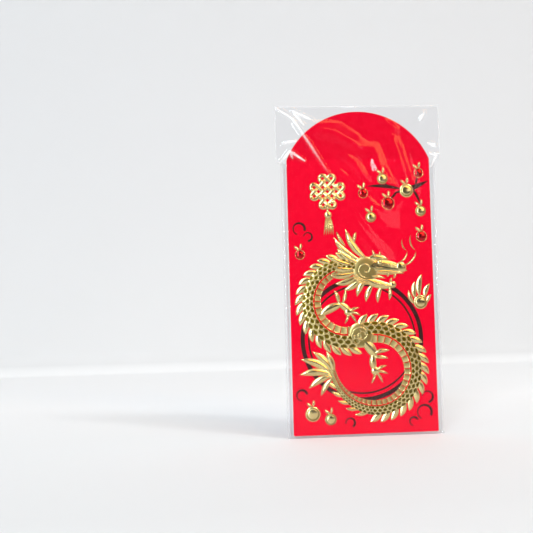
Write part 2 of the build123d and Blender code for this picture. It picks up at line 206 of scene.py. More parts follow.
WHISKER_STROKES = [
    ((30.4, 3.9), (37.9, 13.8), 1.4, -2.0),
    ((37.9, 13.8), (34.0, 24.1), 1.1, 2.1),
    ((27.1, 5.3), (32.2, 13.3), 1.3, -1.6),
    ((32.2, 13.3), (28.7, 20.7), 1.0, 1.6),
]

# Details that lie on the head and the haunch: spirals as first and last radius and angle, gill lines,
# nostril, snout wrinkles and jaw lines
CHEEK_SPIRAL = (1.0, 5.4, 200.0, 660.0)
CHEEK_SPIRAL_STEPS = 100
GILL_RADII = (6.6, 7.7, 8.8)
GILL_ANGLES = (200.0, 290.0)
DETAIL_WIDTH = 1.2
DETAIL_BASE = 0.45
DETAIL_RISE = 0.97
NOSTRIL = ((30.2, 3.6), 1.1)
DETAIL_STROKES = [
    ((20.6, 1.2), (22.6, 5.4), 0.9, 0.5),
    ((22.6, 1.0), (24.6, 5.2), 0.9, 0.5),
    ((24.6, 0.9), (26.6, 5.0), 0.9, 0.5),
    ((11.6, 2.6), (18.8, 2.4), 0.9, -1.3),
    ((11.2, 5.0), (19.6, 6.6), 1.5, 1.5),
    ((12.0, -1.0), (32.0, -0.9), 1.1, -0.4),
    ((8.0, -6.2), (25.6, -9.4), 1.0, -1.3),
    ((13.0, 7.8), (10.2, 12.0), 1.6, 0.4),
    ((16.2, 8.2), (14.8, 11.6), 1.3, 0.3),
]
HAUNCH_SPIRAL = (1.0, 6.4, 90.0, 620.0)
HAUNCH_SPIRAL_STEPS = 120

# Legs from the shoulder and the haunch, and the tuft from the tail's end
SHOULDER_ANGLE = 205.0
SHOULDER_DEPTH = 6.0
FRONT_PAW = ((15.5, 0.8), 2.7)
HIND_PAW = ((8.3, -22.4), 2.7)
FRONT_LEG_STROKES = [
    ((-3.0, -1.6), (12.5, 5.6), 5.4, 1.2),
    ((8.5, 6.6), (17.3, -0.6), 4.4, 0.8),
    ((15.5, 0.8), (22.5, 3.2), 1.9, 0.6),
    ((15.5, 0.8), (23.1, -1.6), 1.9, 0.5),
    ((15.5, 0.8), (20.3, -6.4), 1.9, 0.5),
    ((15.5, 0.8), (12.9, -6.6), 1.8, 0.5),
    ((9.5, 5.4), (6.9, 14.4), 2.6, -0.8),
    ((11.5, 5.6), (13.9, 14.8), 2.4, -0.8),
]
HIND_LEG_STROKES = [
    ((-0.2, -2.6), (8.8, -15.6), 6.4, 1.6),
    ((7.2, -10.6), (8.2, -23.6), 4.4, -0.8),
    ((8.3, -22.4), (16.0, -19.2), 1.9, 0.6),
    ((8.3, -22.4), (16.4, -24.4), 1.9, 0.5),
    ((8.3, -22.4), (12.8, -30.0), 1.9, 0.5),
    ((8.3, -22.4), (5.4, -30.4), 1.8, 0.5),
    ((7.4, -12.0), (17.8, -10.0), 2.8, 0.9),
    ((7.4, -14.2), (16.8, -15.0), 2.4, 0.7),
]
TUFT_STROKES = [
    ((0.3, -3.2), (-3.7, 11.3), 4.2, -1.0),
    ((0.1, -2.7), (-12.1, 11.3), 4.6, -1.6),
    ((-0.3, -2.3), (-19.5, 6.7), 4.8, -1.7),
    ((-0.3, -2.7), (-20.5, -2.7), 4.6, -1.5),
    ((-0.1, -3.7), (-15.1, -11.1), 4.0, -1.4),
    ((0.3, -4.7), (-7.7, -15.9), 3.4, -1.0),
]

# Pearl
PEARL = ((36.4, 80.0), 4.4)
PEARL_STROKES = [
    ((32.6, 78.6), (29.0, 87.6), 2.6, 0.8),
    ((33.4, 82.0), (33.2, 93.0), 3.2, 1.0),
    ((36.0, 83.4), (37.8, 97.4), 3.8, 1.2),
    ((39.0, 82.2), (42.6, 91.4), 3.2, 0.9),
    ((40.4, 79.0), (43.4, 84.6), 2.4, 0.7),
]

# Knot and tassel
KNOT_CENTRE = (-20.0, 150.0)
KNOT_PITCH = 3.9
KNOT_CORD_WIDTH = 2.4
KNOT_BARS = (-1.5, -0.5, 0.5, 1.5)
KNOT_TURN = 45.0
KNOT_DIP = 0.35
KNOT_DIP_DEPTH = 0.6
KNOT_CORD_STEPS = 44
KNOT_LOOP_STEPS = 16
HANGER_LENGTH = 4.6
HANGER_WIDTH = 1.68
HANGER_BEND = 0.1
TASSEL_CAP_RADIUS = 2.3
TASSEL_LENGTH = 13.0
TASSEL_SPREAD = 3.0
TASSEL_STRANDS = 5
TASSEL_STRAND_WIDTH = 1.25
TASSEL_STRAND_BEND = 0.3

# Fruits: centre and radius
GOLD_FRUITS = [
    ((-33.0, 13.0), 4.7),
    ((-22.0, 9.4), 3.7),
    ((30.0, 150.0), 4.4),
    ((15.0, 157.6), 3.5),
    ((38.6, 137.0), 3.5),
    ((7.0, 133.6), 3.4),
]
RED_FRUITS = [
    ((18.0, 142.0), 4.2),
    ((38.0, 161.0), 3.2),
    ((2.4, 148.6), 3.2),
    ((38.4, 121.0), 3.6),
    ((-38.2, 111.0), 3.2),
]
FRUIT_RIM_WIDTH = 0.55
FRUIT_RIM_STEPS = 48
FRUIT_RIM_ROWS = 6
FRUIT_LEAVES = [
    ((-0.2, 0.0), (-3.6, 2.6), 1.7, 0.3),
    ((0.1, 0.0), (0.7, 4.2), 1.7, -0.2),
]
FRUIT_LEAF_SEAT = 0.2

# Card: points of the flap, crowded to the crease, its bow and its fold in millimetres, and its red against
# the panel's, darkened as painted shade
FLAP_COLUMNS = 60
FLAP_ROWS = 40
FLAP_CROWDING = 1.6
FLAP_BOW = 0.5
FLAP_PAINTED_SHADE = 0.92
# Ways that the bare faces and cut edges of each card panel look
BARE_FACES = {
    "front_panel": ((0, 1, 0),),
    "left_wing": ((0, -1, 0), (0, 0, 1)),
    "right_wing": ((0, -1, 0), (0, 0, 1), (-1, 0, 0)),
    "bottom_flap": ((0, -1, 0), (0, 0, 1), (-1, 0, 0), (1, 0, 0)),
}

# Film: soft waves of the front film as points, height and half width, in millimetres from the panel's
# bottom centre
FILM_WAVES = [
    (((-29.0, 189.0), (-14.5, 187.0), (-4.0, 180.5), (2.5, 175.5)), 1.6, 5.2),
    (((-12.6, 174.5), (-3.9, 168.6), (5.9, 155.7)), 1.0, 3.5),
    (((-14.8, 165.0), (-5.5, 156.5)), 0.45, 2.2),
    (((10.0, 176.0), (13.0, 164.0), (21.0, 149.0)), 1.4, 4.6),
    (((22.0, 183.0), (26.0, 168.0), (32.0, 150.0)), 1.2, 4.0),
    (((17.5, 194.0), (25.0, 188.1)), 0.5, 2.2),
    (((-3.0, 151.0), (9.0, 138.0), (15.0, 127.0)), 0.9, 5.0),
    (((-5.4, 134.5), (11.5, 109.5), (18.2, 103.0)), 0.8, 5.0),
    (((-47.0, 150.0), (-45.4, 50.0)), 0.8, 1.3),
    (((46.8, 130.0), (46.2, 30.0)), 0.6, 1.2),
]
# Film: sharp creases of the front film as points, height, half width and strength of the painted glint, a
# white painted highlight, at the first and last point
FILM_CREASES = [
    (((-51.0, 202.3), (-40.6, 195.5), (-30.0, 178.7), (-17.5, 158.7)), 0.9, 1.6, 1.0, 0.0),
    (((-40.7, 200.5), (-33.7, 191.3)), 0.6, 1.4, 0.9, 0.5),
    (((-40.7, 200.5), (-29.2, 195.0)), 0.6, 1.4, 0.9, 0.7),
    (((-50.7, 167.1), (-46.6, 170.7), (-43.0, 175.1), (-33.7, 169.2)), 0.9, 1.6, 0.5, 1.0),
    (((-43.0, 175.1), (-41.0, 170.4)), 0.4, 1.2, 0.7, 0.3),
    (((-47.3, 179.6), (-43.5, 181.2), (-39.0, 181.4)), 0.7, 1.5, 0.6, 0.9),
    (((42.8, 199.0), (40.6, 195.5), (39.8, 193.8)), 0.7, 1.5, 0.5, 1.0),
    (((44.4, 179.4), (49.7, 177.0)), 0.7, 1.4, 1.0, 0.7),
    (((45.0, 172.9), (49.5, 171.5), (45.9, 164.5)), 0.8, 1.5, 0.8, 1.0),
    (((-10.2, 203.3), (-1.9, 203.0)), 0.3, 1.2, 0.7, 0.7),
]
# Width of a crease's painted glint, thinner at its ends, and patches that make the painted glint vary
CREASE_LINE = 0.6
CREASE_THIN = 0.45
CREASE_PATCH = 3.0
CREASE_PATCH_MEAN = 0.75
CREASE_PATCH_SWING = 0.5
RIDGE_REACH = 3.0
RIDGE_END = 0.08

# Film: bands along its edges, in millimetres in from the edge, and how hazy they are
WELD_FLAT = 0.9
WELD_BAND = (1.4, 0.6)
WELD_HAZE = 0.1
FOOT_BAND = (1.2, 0.4)
FOOT_HAZE_SHARE = 0.3
FOOT_RUN = (0.2, 3.2)
LIP_EDGE_BAND = 0.8
LIP_EDGE_HAZE = 0.3

# Film: runs past the crease, in millimetres, where the front film widens into the lip, where films hang
# loose, and where the back film lies flat for the folded flap
LIP_RUN = (-7.0, 3.0)
LOOSE_RUN = (-40.0, 10.0)
FLAT_RUN = (-46.0, -34.0)
TIGHT_SHARE = 0.12

# Film: slow sway, by turns per metre across and up, and fine crinkles, in millimetres
SWAY_TURNS = (45.0, 28.0)
SWAY_SEED = 5.0
SWAY_HEIGHT = 0.35
SWAY_MEAN = 0.2
CRINKLE_HEIGHT = 0.06
CRINKLE_PITCH = 9.0
CRINKLE_SEED = 0.05
CRINKLE_FRACTAL = (1.0, 2.0, 3)

# Film: thickness, mesh sizes and the lip's fold, in millimetres
FILM_THICKNESS = 0.05
FILM_CELL = 0.6
FILM_PLAIN_CELL = 1.5
FILM_PLAIN_Z = (4.0, 95.0)
LIP_FOLD_RUN = 3.0
LIP_FOLD_ROWS = 10

# Film: colour of its haze and painted glints, tint of what is seen through it, cover of the haze and painted
# glints and index of refraction
FILM_HAZE_AND_GLINT_COLOUR = (0.95, 0.95, 0.96)
FILM_TINT = (0.965, 0.965, 0.97)
FILM_HAZE_AND_GLINT_RANGE = (0.001, 0.9)
FILM_IOR = 1.5

# Parts of a noise texture's range that finishes use
NOISE_SPAN = (0.3, 0.7)
CARD_MOTTLE_SPAN = (0.35, 0.65)
GOLD_CLOUD_SPAN = (0.35, 0.7)
# How far a face has to look one of the bare ways to be bare
BARE_SPAN = (0.4, 0.6)

# Finishes: darkest and lightest share of a colour, roughness from smooth to rough, and glue's two colours
CARD_MOTTLE_SHADE = 0.96
CARD_FIBRE_SHADE = 0.9
GOLD_CLOUD_LIGHT = 1.18
CARD_ROUGHNESS = (0.24, 0.32)
GOLD_ROUGHNESS_SHARES = (0.8, 1.3)
FILM_ROUGHNESS_SHARES = (0.6, 1.6)
GLUE_COLOURS = ((0.75, 0.72, 0.62), (0.85, 0.83, 0.76))

# Camera fitted to the envelope's corners in the photograph, from the panel's bottom centre
PHOTO_PIXELS = 533
FOCAL_PIXELS = 900
CAMERA_PLACE = (-0.103, -0.5513, 0.0715)
CAMERA_AZIMUTH = -4.55
CAMERA_PITCH = 3.38
CAMERA_ROLL = -1.51
SENSOR_WIDTH = 36.0
CLIP_START = 0.01

# Dim end of the room: its direction and the angles where it begins and is full
DIM_END = (0.1, -1.0, 0.12)
DIM_OUTER = 42.0
DIM_INNER = 32.0

# Floor and wall, in metres, and where their colours change
FLOOR_HALF_WIDTH = 4.0
FLOOR_REACH = 3.0
WALL_HEIGHT = 3.0
CORNER_RADIUS = 0.03
CORNER_STEPS = 12
WALL_FADE = 0.35
FLOOR_FADE = (-0.8, -0.3)
FLOOR_RISE = (-0.2, 0.25)
FLOOR_FAR_SHARE = 0.35
FLOOR_MOTTLE = 0.04

# Lamps, turned to one place: name, property of its power, place, width, height, roll in degrees and colour
LAMP_TARGET = (0.0, 0.0, 0.1)
LAMPS = [
    ("key_lamp", "key_power", (-0.85, -2.45, 1.35), 0.7, 1.1, 0.0, (0.79, 0.915, 1.0)),
    ("low_lamp", "low_power", (-0.62, -2.3, 0.25), 0.4, 0.3, 0.0, (0.83, 0.935, 1.0)),
    ("side_strip", "side_power", (0.83, -0.94, 1.18), 0.5, 0.12, -60.0, (1.0, 1.0, 1.0)),
    ("warm_strip", "warm_power", (0.6, -1.37, 0.8), 0.92, 0.28, -38.0, (1.0, 0.53, 0.18)),
    ("pane", "pane_power", (0.62, -1.42, 0.38), 0.4, 0.2, 0.0, (1.0, 0.95, 1.0)),
]


# Properties

def colour_property(name, words, default):
    """A colour."""
    return FloatVectorProperty(name=name, description=words, default=default, subtype="COLOR", size=3)


def share_property(name, words, default):
    """A share from 0 to 1."""
    return FloatProperty(name=name, description=words, default=default, subtype="FACTOR", min=0, max=1)


def power_property(name, words, default):
    """A lamp's power in watts."""
    return FloatProperty(name=name, description=words, default=default, unit="POWER", min=0)


class EnvelopeLook(bpy.types.PropertyGroup):
    """Colours and finishes of the envelope and its sleeve."""
    card_red: colour_property("Card red", "Colour of the coated card", (0.8, 0.0, 0.024))
    card_inside: colour_property("Card inside", "Colour of the unprinted side", (0.86, 0.83, 0.77))
    fruit_red: colour_property("Fruit red", "Colour of the red fruits", (0.36, 0.002, 0.006))
    foil_gold: colour_property("Gold foil", "Colour of the raised foil", (0.69, 0.56, 0.245))
    # Gold foil's hollows darken towards this colour as painted shade
    foil_hollow_shade: colour_property("Foil hollows", "Colour deep in the foil's hollows", (0.12, 0.085, 0.006))
    foil_bronze: colour_property("Bronze foil", "Colour of the flat foil", (0.034, 0.005, 0.0045))
    foil_roughness: share_property("Foil roughness", "Roughness of the gold foil's crowns", 0.13)
    film_roughness: share_property("Film roughness", "Roughness of the clear film", 0.025)
    film_shine: share_property("Film shine", "Share of a clear film's own reflection", 0.24)
    wrinkle_height: FloatProperty(
        name="Wrinkle height", description="Height of the film's ridges against the drawn ones", default=1.0,
        min=0, max=3)


class StageLook(bpy.types.PropertyGroup):
    """Floor, wall and lamps."""
    floor_colour: colour_property("Floor", "Colour of the floor near the camera", (0.73, 0.755, 0.77))
    # The floor along the wall is lighter as painted light
    floor_back_colour: colour_property("Floor back", "Colour of the floor by the wall", (0.945, 0.95, 0.955))
    wall_colour: colour_property("Wall", "Colour of the wall", (0.685, 0.69, 0.7))
    # The wall just above the floor is lighter as painted light
    wall_low_colour: colour_property("Wall low", "Colour of the wall above the floor", (0.705, 0.71, 0.715))
    wall_distance: FloatProperty(
        name="Wall distance", description="From the envelope to the wall", default=0.78, unit="LENGTH")
    key_power: power_property("Key power", "Power of the soft lamp", 40.0)
    low_power: power_property("Low power", "Power of the low soft lamp", 14.0)
    side_power: power_property("Side power", "Power of the white strip", 7.0)
    warm_power: power_property("Warm power", "Power of the warm strip", 6.2)
    pane_power: power_property("Pane power", "Power of the dim pane", 0.5)
    room_light: FloatProperty(name="Room light", description="Brightness of the room", default=0.75, min=0)
    dim_share: share_property("Dim end", "Brightness of the room's dim end", 0.15)


def look():
    """The envelope's colours and finishes."""
    return bpy.context.scene.envelope_look


def stage_look():
    """The stage's colours and lamps."""
    return bpy.context.scene.envelope_stage


# Geometry helpers

def art(x, z, rise):
    """A point of the artwork, in millimetres, at a rise in front of the panel, as a place in metres."""
    return Vector((x * MM, PANEL_Y - rise * MM, PANEL_LOW.z + z * MM))


def polar(centre, radius, angle):
    """The point at a radius and an angle, in degrees, from a centre."""
    return (centre[0] + radius * cos(radians(angle)), centre[1] + radius * sin(radians(angle)))


def turned(point, angle, origin):
    """A point turned by an angle, in degrees, and set off from an origin."""
    turn = radians(angle)
    across = point[0] * cos(turn) - point[1] * sin(turn)
    upward = point[0] * sin(turn) + point[1] * cos(turn)
    return (origin[0] + across, origin[1] + upward)


def smooth_step(low, high, value):
    """From 0 at low to 1 at high, with a soft start and end."""
    share = min(max((value - low) / (high - low), 0.0), 1.0)
    return share * share * (3 - 2 * share)


def part_way(start, end, share):
    """The value at a share of the way from start to end."""
    return start + (end - start) * share


def past_crease(run, z):
    """From 0 to 1 along a run that is given in millimetres past the crease."""
    return smooth_step(CREASE_Z + run[0] * MM, CREASE_Z + run[1] * MM, z)


def arc_rise(share, length, rise):
    """Height of a circular arc over its chord, at a share of the chord."""
    radius = (length * length / 4 + rise * rise) / (2 * abs(rise))
    run = length * (share - 0.5)
    return copysign(sqrt(radius * radius - run * run) - radius + abs(rise), rise)


class Foil:
    """A raised foil piece, made of patches that are closed at the back."""

    def __init__(self):
        self.mesh = bmesh.new()
        # Depth in a hollow at each point, which darkens the gold as painted shade and makes it satin
        self.hollow = self.mesh.verts.layers.float.new("hollow")

    def patch(self, along, across, place):
        """A grid whose points place(share along, -1 to 1 across) puts at x, z, rise and depth of hollow."""
        made = bmesh.ops.create_grid(self.mesh, x_segments=along, y_segments=across, size=1.0)["verts"]
        for vert in made:
            x, z, rise, depth = place((vert.co.x + 1) / 2, vert.co.y)
            vert[self.hollow] = depth
            vert.co = art(x, z, rise - FOIL_SINK)

    def stroke(self, base, tip, width, bend, rise, ridge=PLAIN_RIDGE, base_rise=0.0):
        """A leaf-shaped stroke of two arcs, round or with a ridge along its middle."""
        length = hypot(tip[0] - base[0], tip[1] - base[1])
        ahead = ((tip[0] - base[0]) / length, (tip[1] - base[1]) / length)

        def place(share, side):
            left = arc_rise(share, length, bend + width / 2)
            right = arc_rise(share, length, bend - width / 2)
            fullness = max((left - right) / width, 0.0)
            offset = (left + right) / 2 + side * (left - right) / 2
            crown = part_way(sqrt(1 - side * side), 1 - abs(side), ridge)
            x = base[0] + ahead[0] * share * length - ahead[1] * offset
            z = base[1] + ahead[1] * share * length + ahead[0] * offset
            height = part_way(base_rise, rise, crown * fullness ** STROKE_FULLNESS)
            return x, z, height, (1 - crown) * FLANK_DEPTH

        self.patch(STROKE_STEPS, STROKE_ROWS, place)

    def line(self, path, width, rise, base_rise=0.0, steps=LINE_STEPS):
        """A raised round line of even width that thins to nothing at the ends of path(share)."""
        def place(share, side):
            here = path(share)
            behind = path(share - LINE_NEAR)
            before = path(share + LINE_NEAR)
            run = hypot(before[0] - behind[0], before[1] - behind[1])
            half = side * width / 2 * min(sin(pi * share) * LINE_FULLNESS, 1.0)
            x = here[0] - (before[1] - behind[1]) / run * half
            z = here[1] + (before[0] - behind[0]) / run * half
            return x, z, part_way(base_rise, rise, sqrt(1 - side * side)), abs(side) * FLANK_DEPTH

        self.patch(steps, STROKE_ROWS, place)

    def dome(self, centre, radius, rise, profile):
        """A round boss whose height and hollow follow profile(share of the radius)."""
        start = []
        for index in range(BOSS_RINGS + 1):
            share = index / BOSS_RINGS
            height, depth = profile(share)
            vert = self.mesh.verts.new(art(centre[0] + radius * share, centre[1], rise * height - FOIL_SINK))
            vert[self.hollow] = depth
            start.append(vert)
        edges = [self.mesh.edges.new(pair) for pair in zip(start, start[1:])]
        middle = art(centre[0], centre[1], 0)
        bmesh.ops.spin(self.mesh, geom=start + edges, cent=middle, axis=(0, 1, 0), angle=2 * pi,
                       steps=BOSS_STEPS, use_merge=True)

    def finish(self, name, material, nodes, slot="gold_foil"):
        """Closes the patches and makes the piece that stands for CAD nodes of the envelope."""
        bmesh.ops.remove_doubles(self.mesh, verts=self.mesh.verts, dist=MERGE_GAP * MM)
        bmesh.ops.dissolve_degenerate(self.mesh, edges=self.mesh.edges, dist=SLIVER * MM)
        open_edges = [edge for edge in self.mesh.edges if edge.is_boundary]
        bmesh.ops.holes_fill(self.mesh, edges=open_edges, sides=0)
        bmesh.ops.recalc_face_normals(self.mesh, faces=self.mesh.faces)
        new_piece(name, self.mesh, material, "envelope", nodes)


def only(kind, items):
    """The items of one kind among those that an operator made."""
    return [item for item in items if isinstance(item, kind)]


def new_object(name, data):
    """A new object of the scene."""
    made = bpy.data.objects.new(name, data)
    bpy.context.scene.collection.objects.link(made)
    return made


def new_mesh(name, mesh, material):
    """A new object made of a bmesh, shaded smooth."""
    for face in mesh.faces:
        face.smooth = True
    data = bpy.data.meshes.new(name)
    mesh.to_mesh(data)
    mesh.free()
    data.materials.append(material)
    return new_object(name, data)


def new_piece(name, mesh, material, body, nodes, sharp_angle=SHARP_ANGLE):
    """A new object made of a bmesh that stands for CAD nodes, and rides on a body if one is given."""
    piece = new_mesh(name, mesh, material)
    piece.data.set_sharp_from_angle(angle=radians(sharp_angle))
    if body:
        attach(piece, body)
    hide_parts(*nodes)
    return piece


def round_boss(share):
    """A plain dome."""
    return sqrt(1 - share * share), share ** 3 * FOOT_DEPTH


def disc_boss(share):
    """A flat-topped disc, darkened with painted shade under what lies on it."""
    return sqrt(1 - share ** 3), part_way(*DISC_DEPTHS, smooth_step(DISC_EDGE, 1.0, share))


def rimmed_boss(share):
    """A dome inside a raised rim."""
    if share > BOSS_RIM:
        across = (2 * share - 1 - BOSS_RIM) / (1 - BOSS_RIM)
        return BOSS_RIM_RISE * sqrt(max(1 - across * across, 0.0)), 0.0
    return sqrt(1 - (share / BOSS_FOOT) ** 2), smooth_step(BOSS_HOLLOW, BOSS_RIM, share)


def dimpled_boss(share):
    """A ring with a dimple in its middle."""
    ring = (1 - DIMPLE_FLOOR) * sin(pi * min(share / BOSS_FOOT, 1.0))
    return ring + DIMPLE_FLOOR * (1 - smooth_step(DIMPLE_EDGE, 1.0, share)), 1 - share


def spiral(centre, start_radius, end_radius, start_angle, end_angle):
    """A path that winds out from a centre."""
    def path(share):
        radius = part_way(start_radius, end_radius, share)
        return polar(centre, radius, part_way(start_angle, end_angle, share))
    return path


# Body, head and strokes

def body_arcs():
    """The arcs of the body as centre, radius, start and end angle and the widths there."""
    hind_centre = polar(FRONT_RING_CENTRE, FRONT_RING_RADIUS + HIND_RING_RADIUS, HIND_RING_ANGLE)
    rump = polar(hind_centre, HIND_RING_RADIUS, RUMP_ANGLE)
    tail_centre = polar(rump, -TAIL_RADIUS, RUMP_ANGLE)
    front = (FRONT_RING_CENTRE, FRONT_RING_RADIUS, NECK_ANGLE, HIND_RING_ANGLE, NECK_WIDTH, TRUNK_WIDTH)
    hind = (hind_centre, HIND_RING_RADIUS, HIND_RING_ANGLE - 180, RUMP_ANGLE, TRUNK_WIDTH, RUMP_WIDTH)
    tail = (tail_centre, TAIL_RADIUS, RUMP_ANGLE, TAIL_END_ANGLE, RUMP_WIDTH, TAIL_END_WIDTH)
    return front, hind, tail


def scale_relief(along, across):
    """Height and hollow of overlapping round scales, on a lattice with a pitch of 1 each way."""
    best = None
    for row in range(floor(across) - 1, floor(across) + 2):
        shift = 0.5 * (row % 2)
        for column in range(floor(along - shift) - 1, floor(along - shift) + 2):
            distance = hypot(along - column - shift, (across - row - 0.5) * SCALE_SQUASH)
            if distance < SCALE_REACH and (best is None or column + shift < best[0]):
                best = (column + shift, distance / SCALE_REACH)
    if best is None:
        return 0.0, 1.0
    edge = best[1]
    return SCALE_STEP * part_way(SCALE_FLOOR, 1.0, edge ** 3), 1 - smooth_step(*SCALE_HOLLOW, edge)


def add_body(foil, arc):
    """Scales along the outer side of a body arc and belly plates along its inner side."""
    centre, radius, start, end, start_width, end_width = arc
    length = radians(abs(end - start)) * radius
    taper = end_width - start_width

    def width_at(share):
        return part_way(start_width, end_width, share)

    def passed(share, pitch):
        """How many scales or plates, which change with the width, lie before a share of the arc."""
        return length / (taper * pitch) * log(width_at(share) / start_width)

    def share_after(count, pitch):
        """The share of the arc that so many scales or plates take up."""
        return (exp(count * pitch * taper / length) - 1) * start_width / taper

    def at(share, side):
        return polar(centre, radius + width_at(share) / 2 * side, part_way(start, end, share))

    def scales(share, across):
        outward = part_way(BELLY_EDGE, 1.0, (across + 1) / 2)
        step, depth = scale_relief(passed(share, SCALE_PITCH), (across + 1) / 2 * SCALE_ROWS)
        crown = sqrt(1 - outward * outward)
        brim = smooth_step(0.0, BODY_BRIM, min(1 - across, 1 + across))
        height = (crown * (BODY_RISE - SCALE_STEP + step) + BODY_FLOOR) * brim
        return *at(share, outward), height, depth * brim

    rows = int(start_width * (1 - BELLY_EDGE) / 2 / BODY_CELL)
    foil.patch(int(length / BODY_CELL), rows, scales)

    for plate in range(floor(passed(1.0, PLATE_PITCH))):
        low = share_after(plate + PLATE_GAP / 2, PLATE_PITCH)
        high = share_after(plate + 1 - PLATE_GAP / 2, PLATE_PITCH)

        def belly(share, across, low=low, high=high):
            inward = part_way(-1.0, BELLY_EDGE - BELLY_GAP, (across + 1) / 2)
            brim = smooth_step(*PLATE_BRIM, abs(across))
            edge = max(abs(2 * share - 1), abs(across))
            crown = sqrt(1 - (inward * PLATE_ROUNDNESS) ** 2)
            height = crown * BODY_RISE * part_way(*PLATE_RISES, max(share * share, brim))
            height *= 1 - smooth_step(PLATE_EDGE, 1.0, edge)
            # Painted shade, and satin: a plate darkens from its end towards its start, but not along its brim
            depth = part_way(*PLATE_DEPTHS, share) * (1 - brim)
            return *at(part_way(low, high, share), inward), height, depth

        foil.patch(PLATE_CELLS, PLATE_CELLS, belly)


def add_fins(foil, arc, size):
    """Swept-back fins along the outer edge of a body arc."""
    centre, radius, start, end, start_width, end_width = arc
    turn = 1 if end > start else -1
    count = int(abs(end - start) / FIN_STEP_ANGLE)
    for index in range(count):
        angle = start + turn * FIN_STEP_ANGLE * index
        edge = radius + part_way(start_width, end_width, index / count) / 2
        root = polar(centre, edge - FIN_ROOT_DEPTH, angle)
        tip = polar(centre, edge + FIN_LENGTH * size, angle + turn * FIN_SWEEP_ANGLE)
        foil.stroke(root, tip, FIN_WIDTH * size, -turn * FIN_BEND, LOW_RELIEF, SHARP_RIDGE)


def head_point(point):
    """A point of the head, given forward and up from the end of the neck."""
    return turned(point, HEAD_TILT, polar(FRONT_RING_CENTRE, FRONT_RING_RADIUS, NECK_ANGLE))


def add_strokes(foil, strokes, rise, ridge, origin=(0.0, 0.0), place=None):
    """All strokes of a list, from an origin or through a placing function."""
    for base, tip, width, bend in strokes:
        ends = []
        for point in (base, tip):
            moved = (point[0] + origin[0], point[1] + origin[1])
            ends.append(place(moved) if place else moved)
        foil.stroke(*ends, width, bend, rise, ridge)


# Materials

class NodeTree:
    """The nodes of a material or a world, whose inputs take plain values or the outputs of other nodes."""

    def __init__(self, owner):
        owner.use_nodes = True
        self.nodes = owner.node_tree.nodes
        self.links = owner.node_tree.links
        self.coordinates = self.nodes.new("ShaderNodeTexCoord").outputs

    def feed(self, socket, value):
        """Links an output to an input, or sets a number, a direction or a colour on it."""
        if isinstance(value, bpy.types.NodeSocket):
            self.links.new(value, socket)
        elif socket.type == "RGBA":
            socket.default_value = (*value, 1.0)
        else:
            socket.default_value = value

    def node(self, kind, inputs, **settings):
        """A new node with its settings made and its inputs fed."""
        made = self.nodes.new(kind)
        for key, value in settings.items():
            setattr(made, key, value)
        for key, value in inputs.items():
            self.feed(made.inputs[key], value)
        return made

    def cloud(self, scale, detail=4.0):
        """Noise over the piece, by turns per metre."""
        inputs = {"Vector": self.coordinates["Object"], "Scale": scale, "Detail": detail}
        return self.node("ShaderNodeTexNoise", inputs).outputs["Fac"]

    def mix(self, factor, first, second):
        """A mix of two colours."""
        inputs = {"Factor": factor, "A": first, "B": second}
        return self.node("ShaderNodeMix", inputs, data_type="RGBA").outputs["Result"]

    def ramp(self, value, low, high, out_low=0.0, out_high=1.0):
        """A value mapped from one range to another and held at its ends."""
        inputs = {"Value": value, "From Min": low, "From Max": high, "To Min": out_low, "To Max": out_high}
        return self.node("ShaderNodeMapRange", inputs).outputs["Result"]

    def facing(self, direction, way):
        """How much a direction points one way."""
        made = self.node("ShaderNodeVectorMath", {0: direction, 1: way}, operation="DOT_PRODUCT")
        return made.outputs["Value"]

    def attribute(self, name):
        """A value that the points of the mesh carry."""
        return self.node("ShaderNodeAttribute", {}, attribute_name=name).outputs["Fac"]


class Finish(NodeTree):
    """A new material with its Principled shader."""

    def __init__(self, name):
        self.material = bpy.data.materials.new(name)
        super().__init__(self.material)
        self.principled = self.nodes["Principled BSDF"]

    def put(self, key, value):
        """Feeds one input of the Principled shader."""
        self.feed(self.principled.inputs[key], value)

    def bump(self, height, strength, distance):
        """Small relief, with its full distance in metres."""
        inputs = {"Strength": strength, "Distance": distance, "Height": height}
        self.put("Normal", self.node("ShaderNodeBump", inputs).outputs["Normal"])


def tone(colour, share):
    """A colour made darker or lighter."""
    return tuple(min(channel * share, 1.0) for channel in colour)


def card_material(name, bare_ways=(), painted_shade=1.0):
    """Coated red card with a fine tooth, bare on the faces that look one of the given ways, darkened by
    painted shade.
    """
    finish = Finish(name)
    mottle = finish.cloud(scale=220.0)
    red = tone(look().card_red, painted_shade)
    colour = finish.mix(finish.ramp(mottle, *CARD_MOTTLE_SPAN), tone(red, CARD_MOTTLE_SHADE), red)
    for way in bare_ways:
        bare = finish.ramp(finish.facing(finish.coordinates["Normal"], way), *BARE_SPAN)
        colour = finish.mix(bare, colour, look().card_inside)
    finish.put("Base Color", colour)
    finish.put("Roughness", finish.ramp(mottle, *NOISE_SPAN, *CARD_ROUGHNESS))
    finish.put("Specular IOR Level", 0.03)
    finish.bump(finish.cloud(scale=2600.0, detail=2.0), strength=0.12, distance=0.03 * MM)
    return finish.material


def inside_material():
    """Bare card with soft fibres."""
    finish = Finish("card_inside")
    fibres = finish.cloud(scale=900.0, detail=6.0)
    bare = look().card_inside
    finish.put("Base Color", finish.mix(fibres, tone(bare, CARD_FIBRE_SHADE), bare))
    finish.put("Roughness", 0.8)
    finish.bump(fibres, strength=0.3, distance=0.03 * MM)
    return finish.material


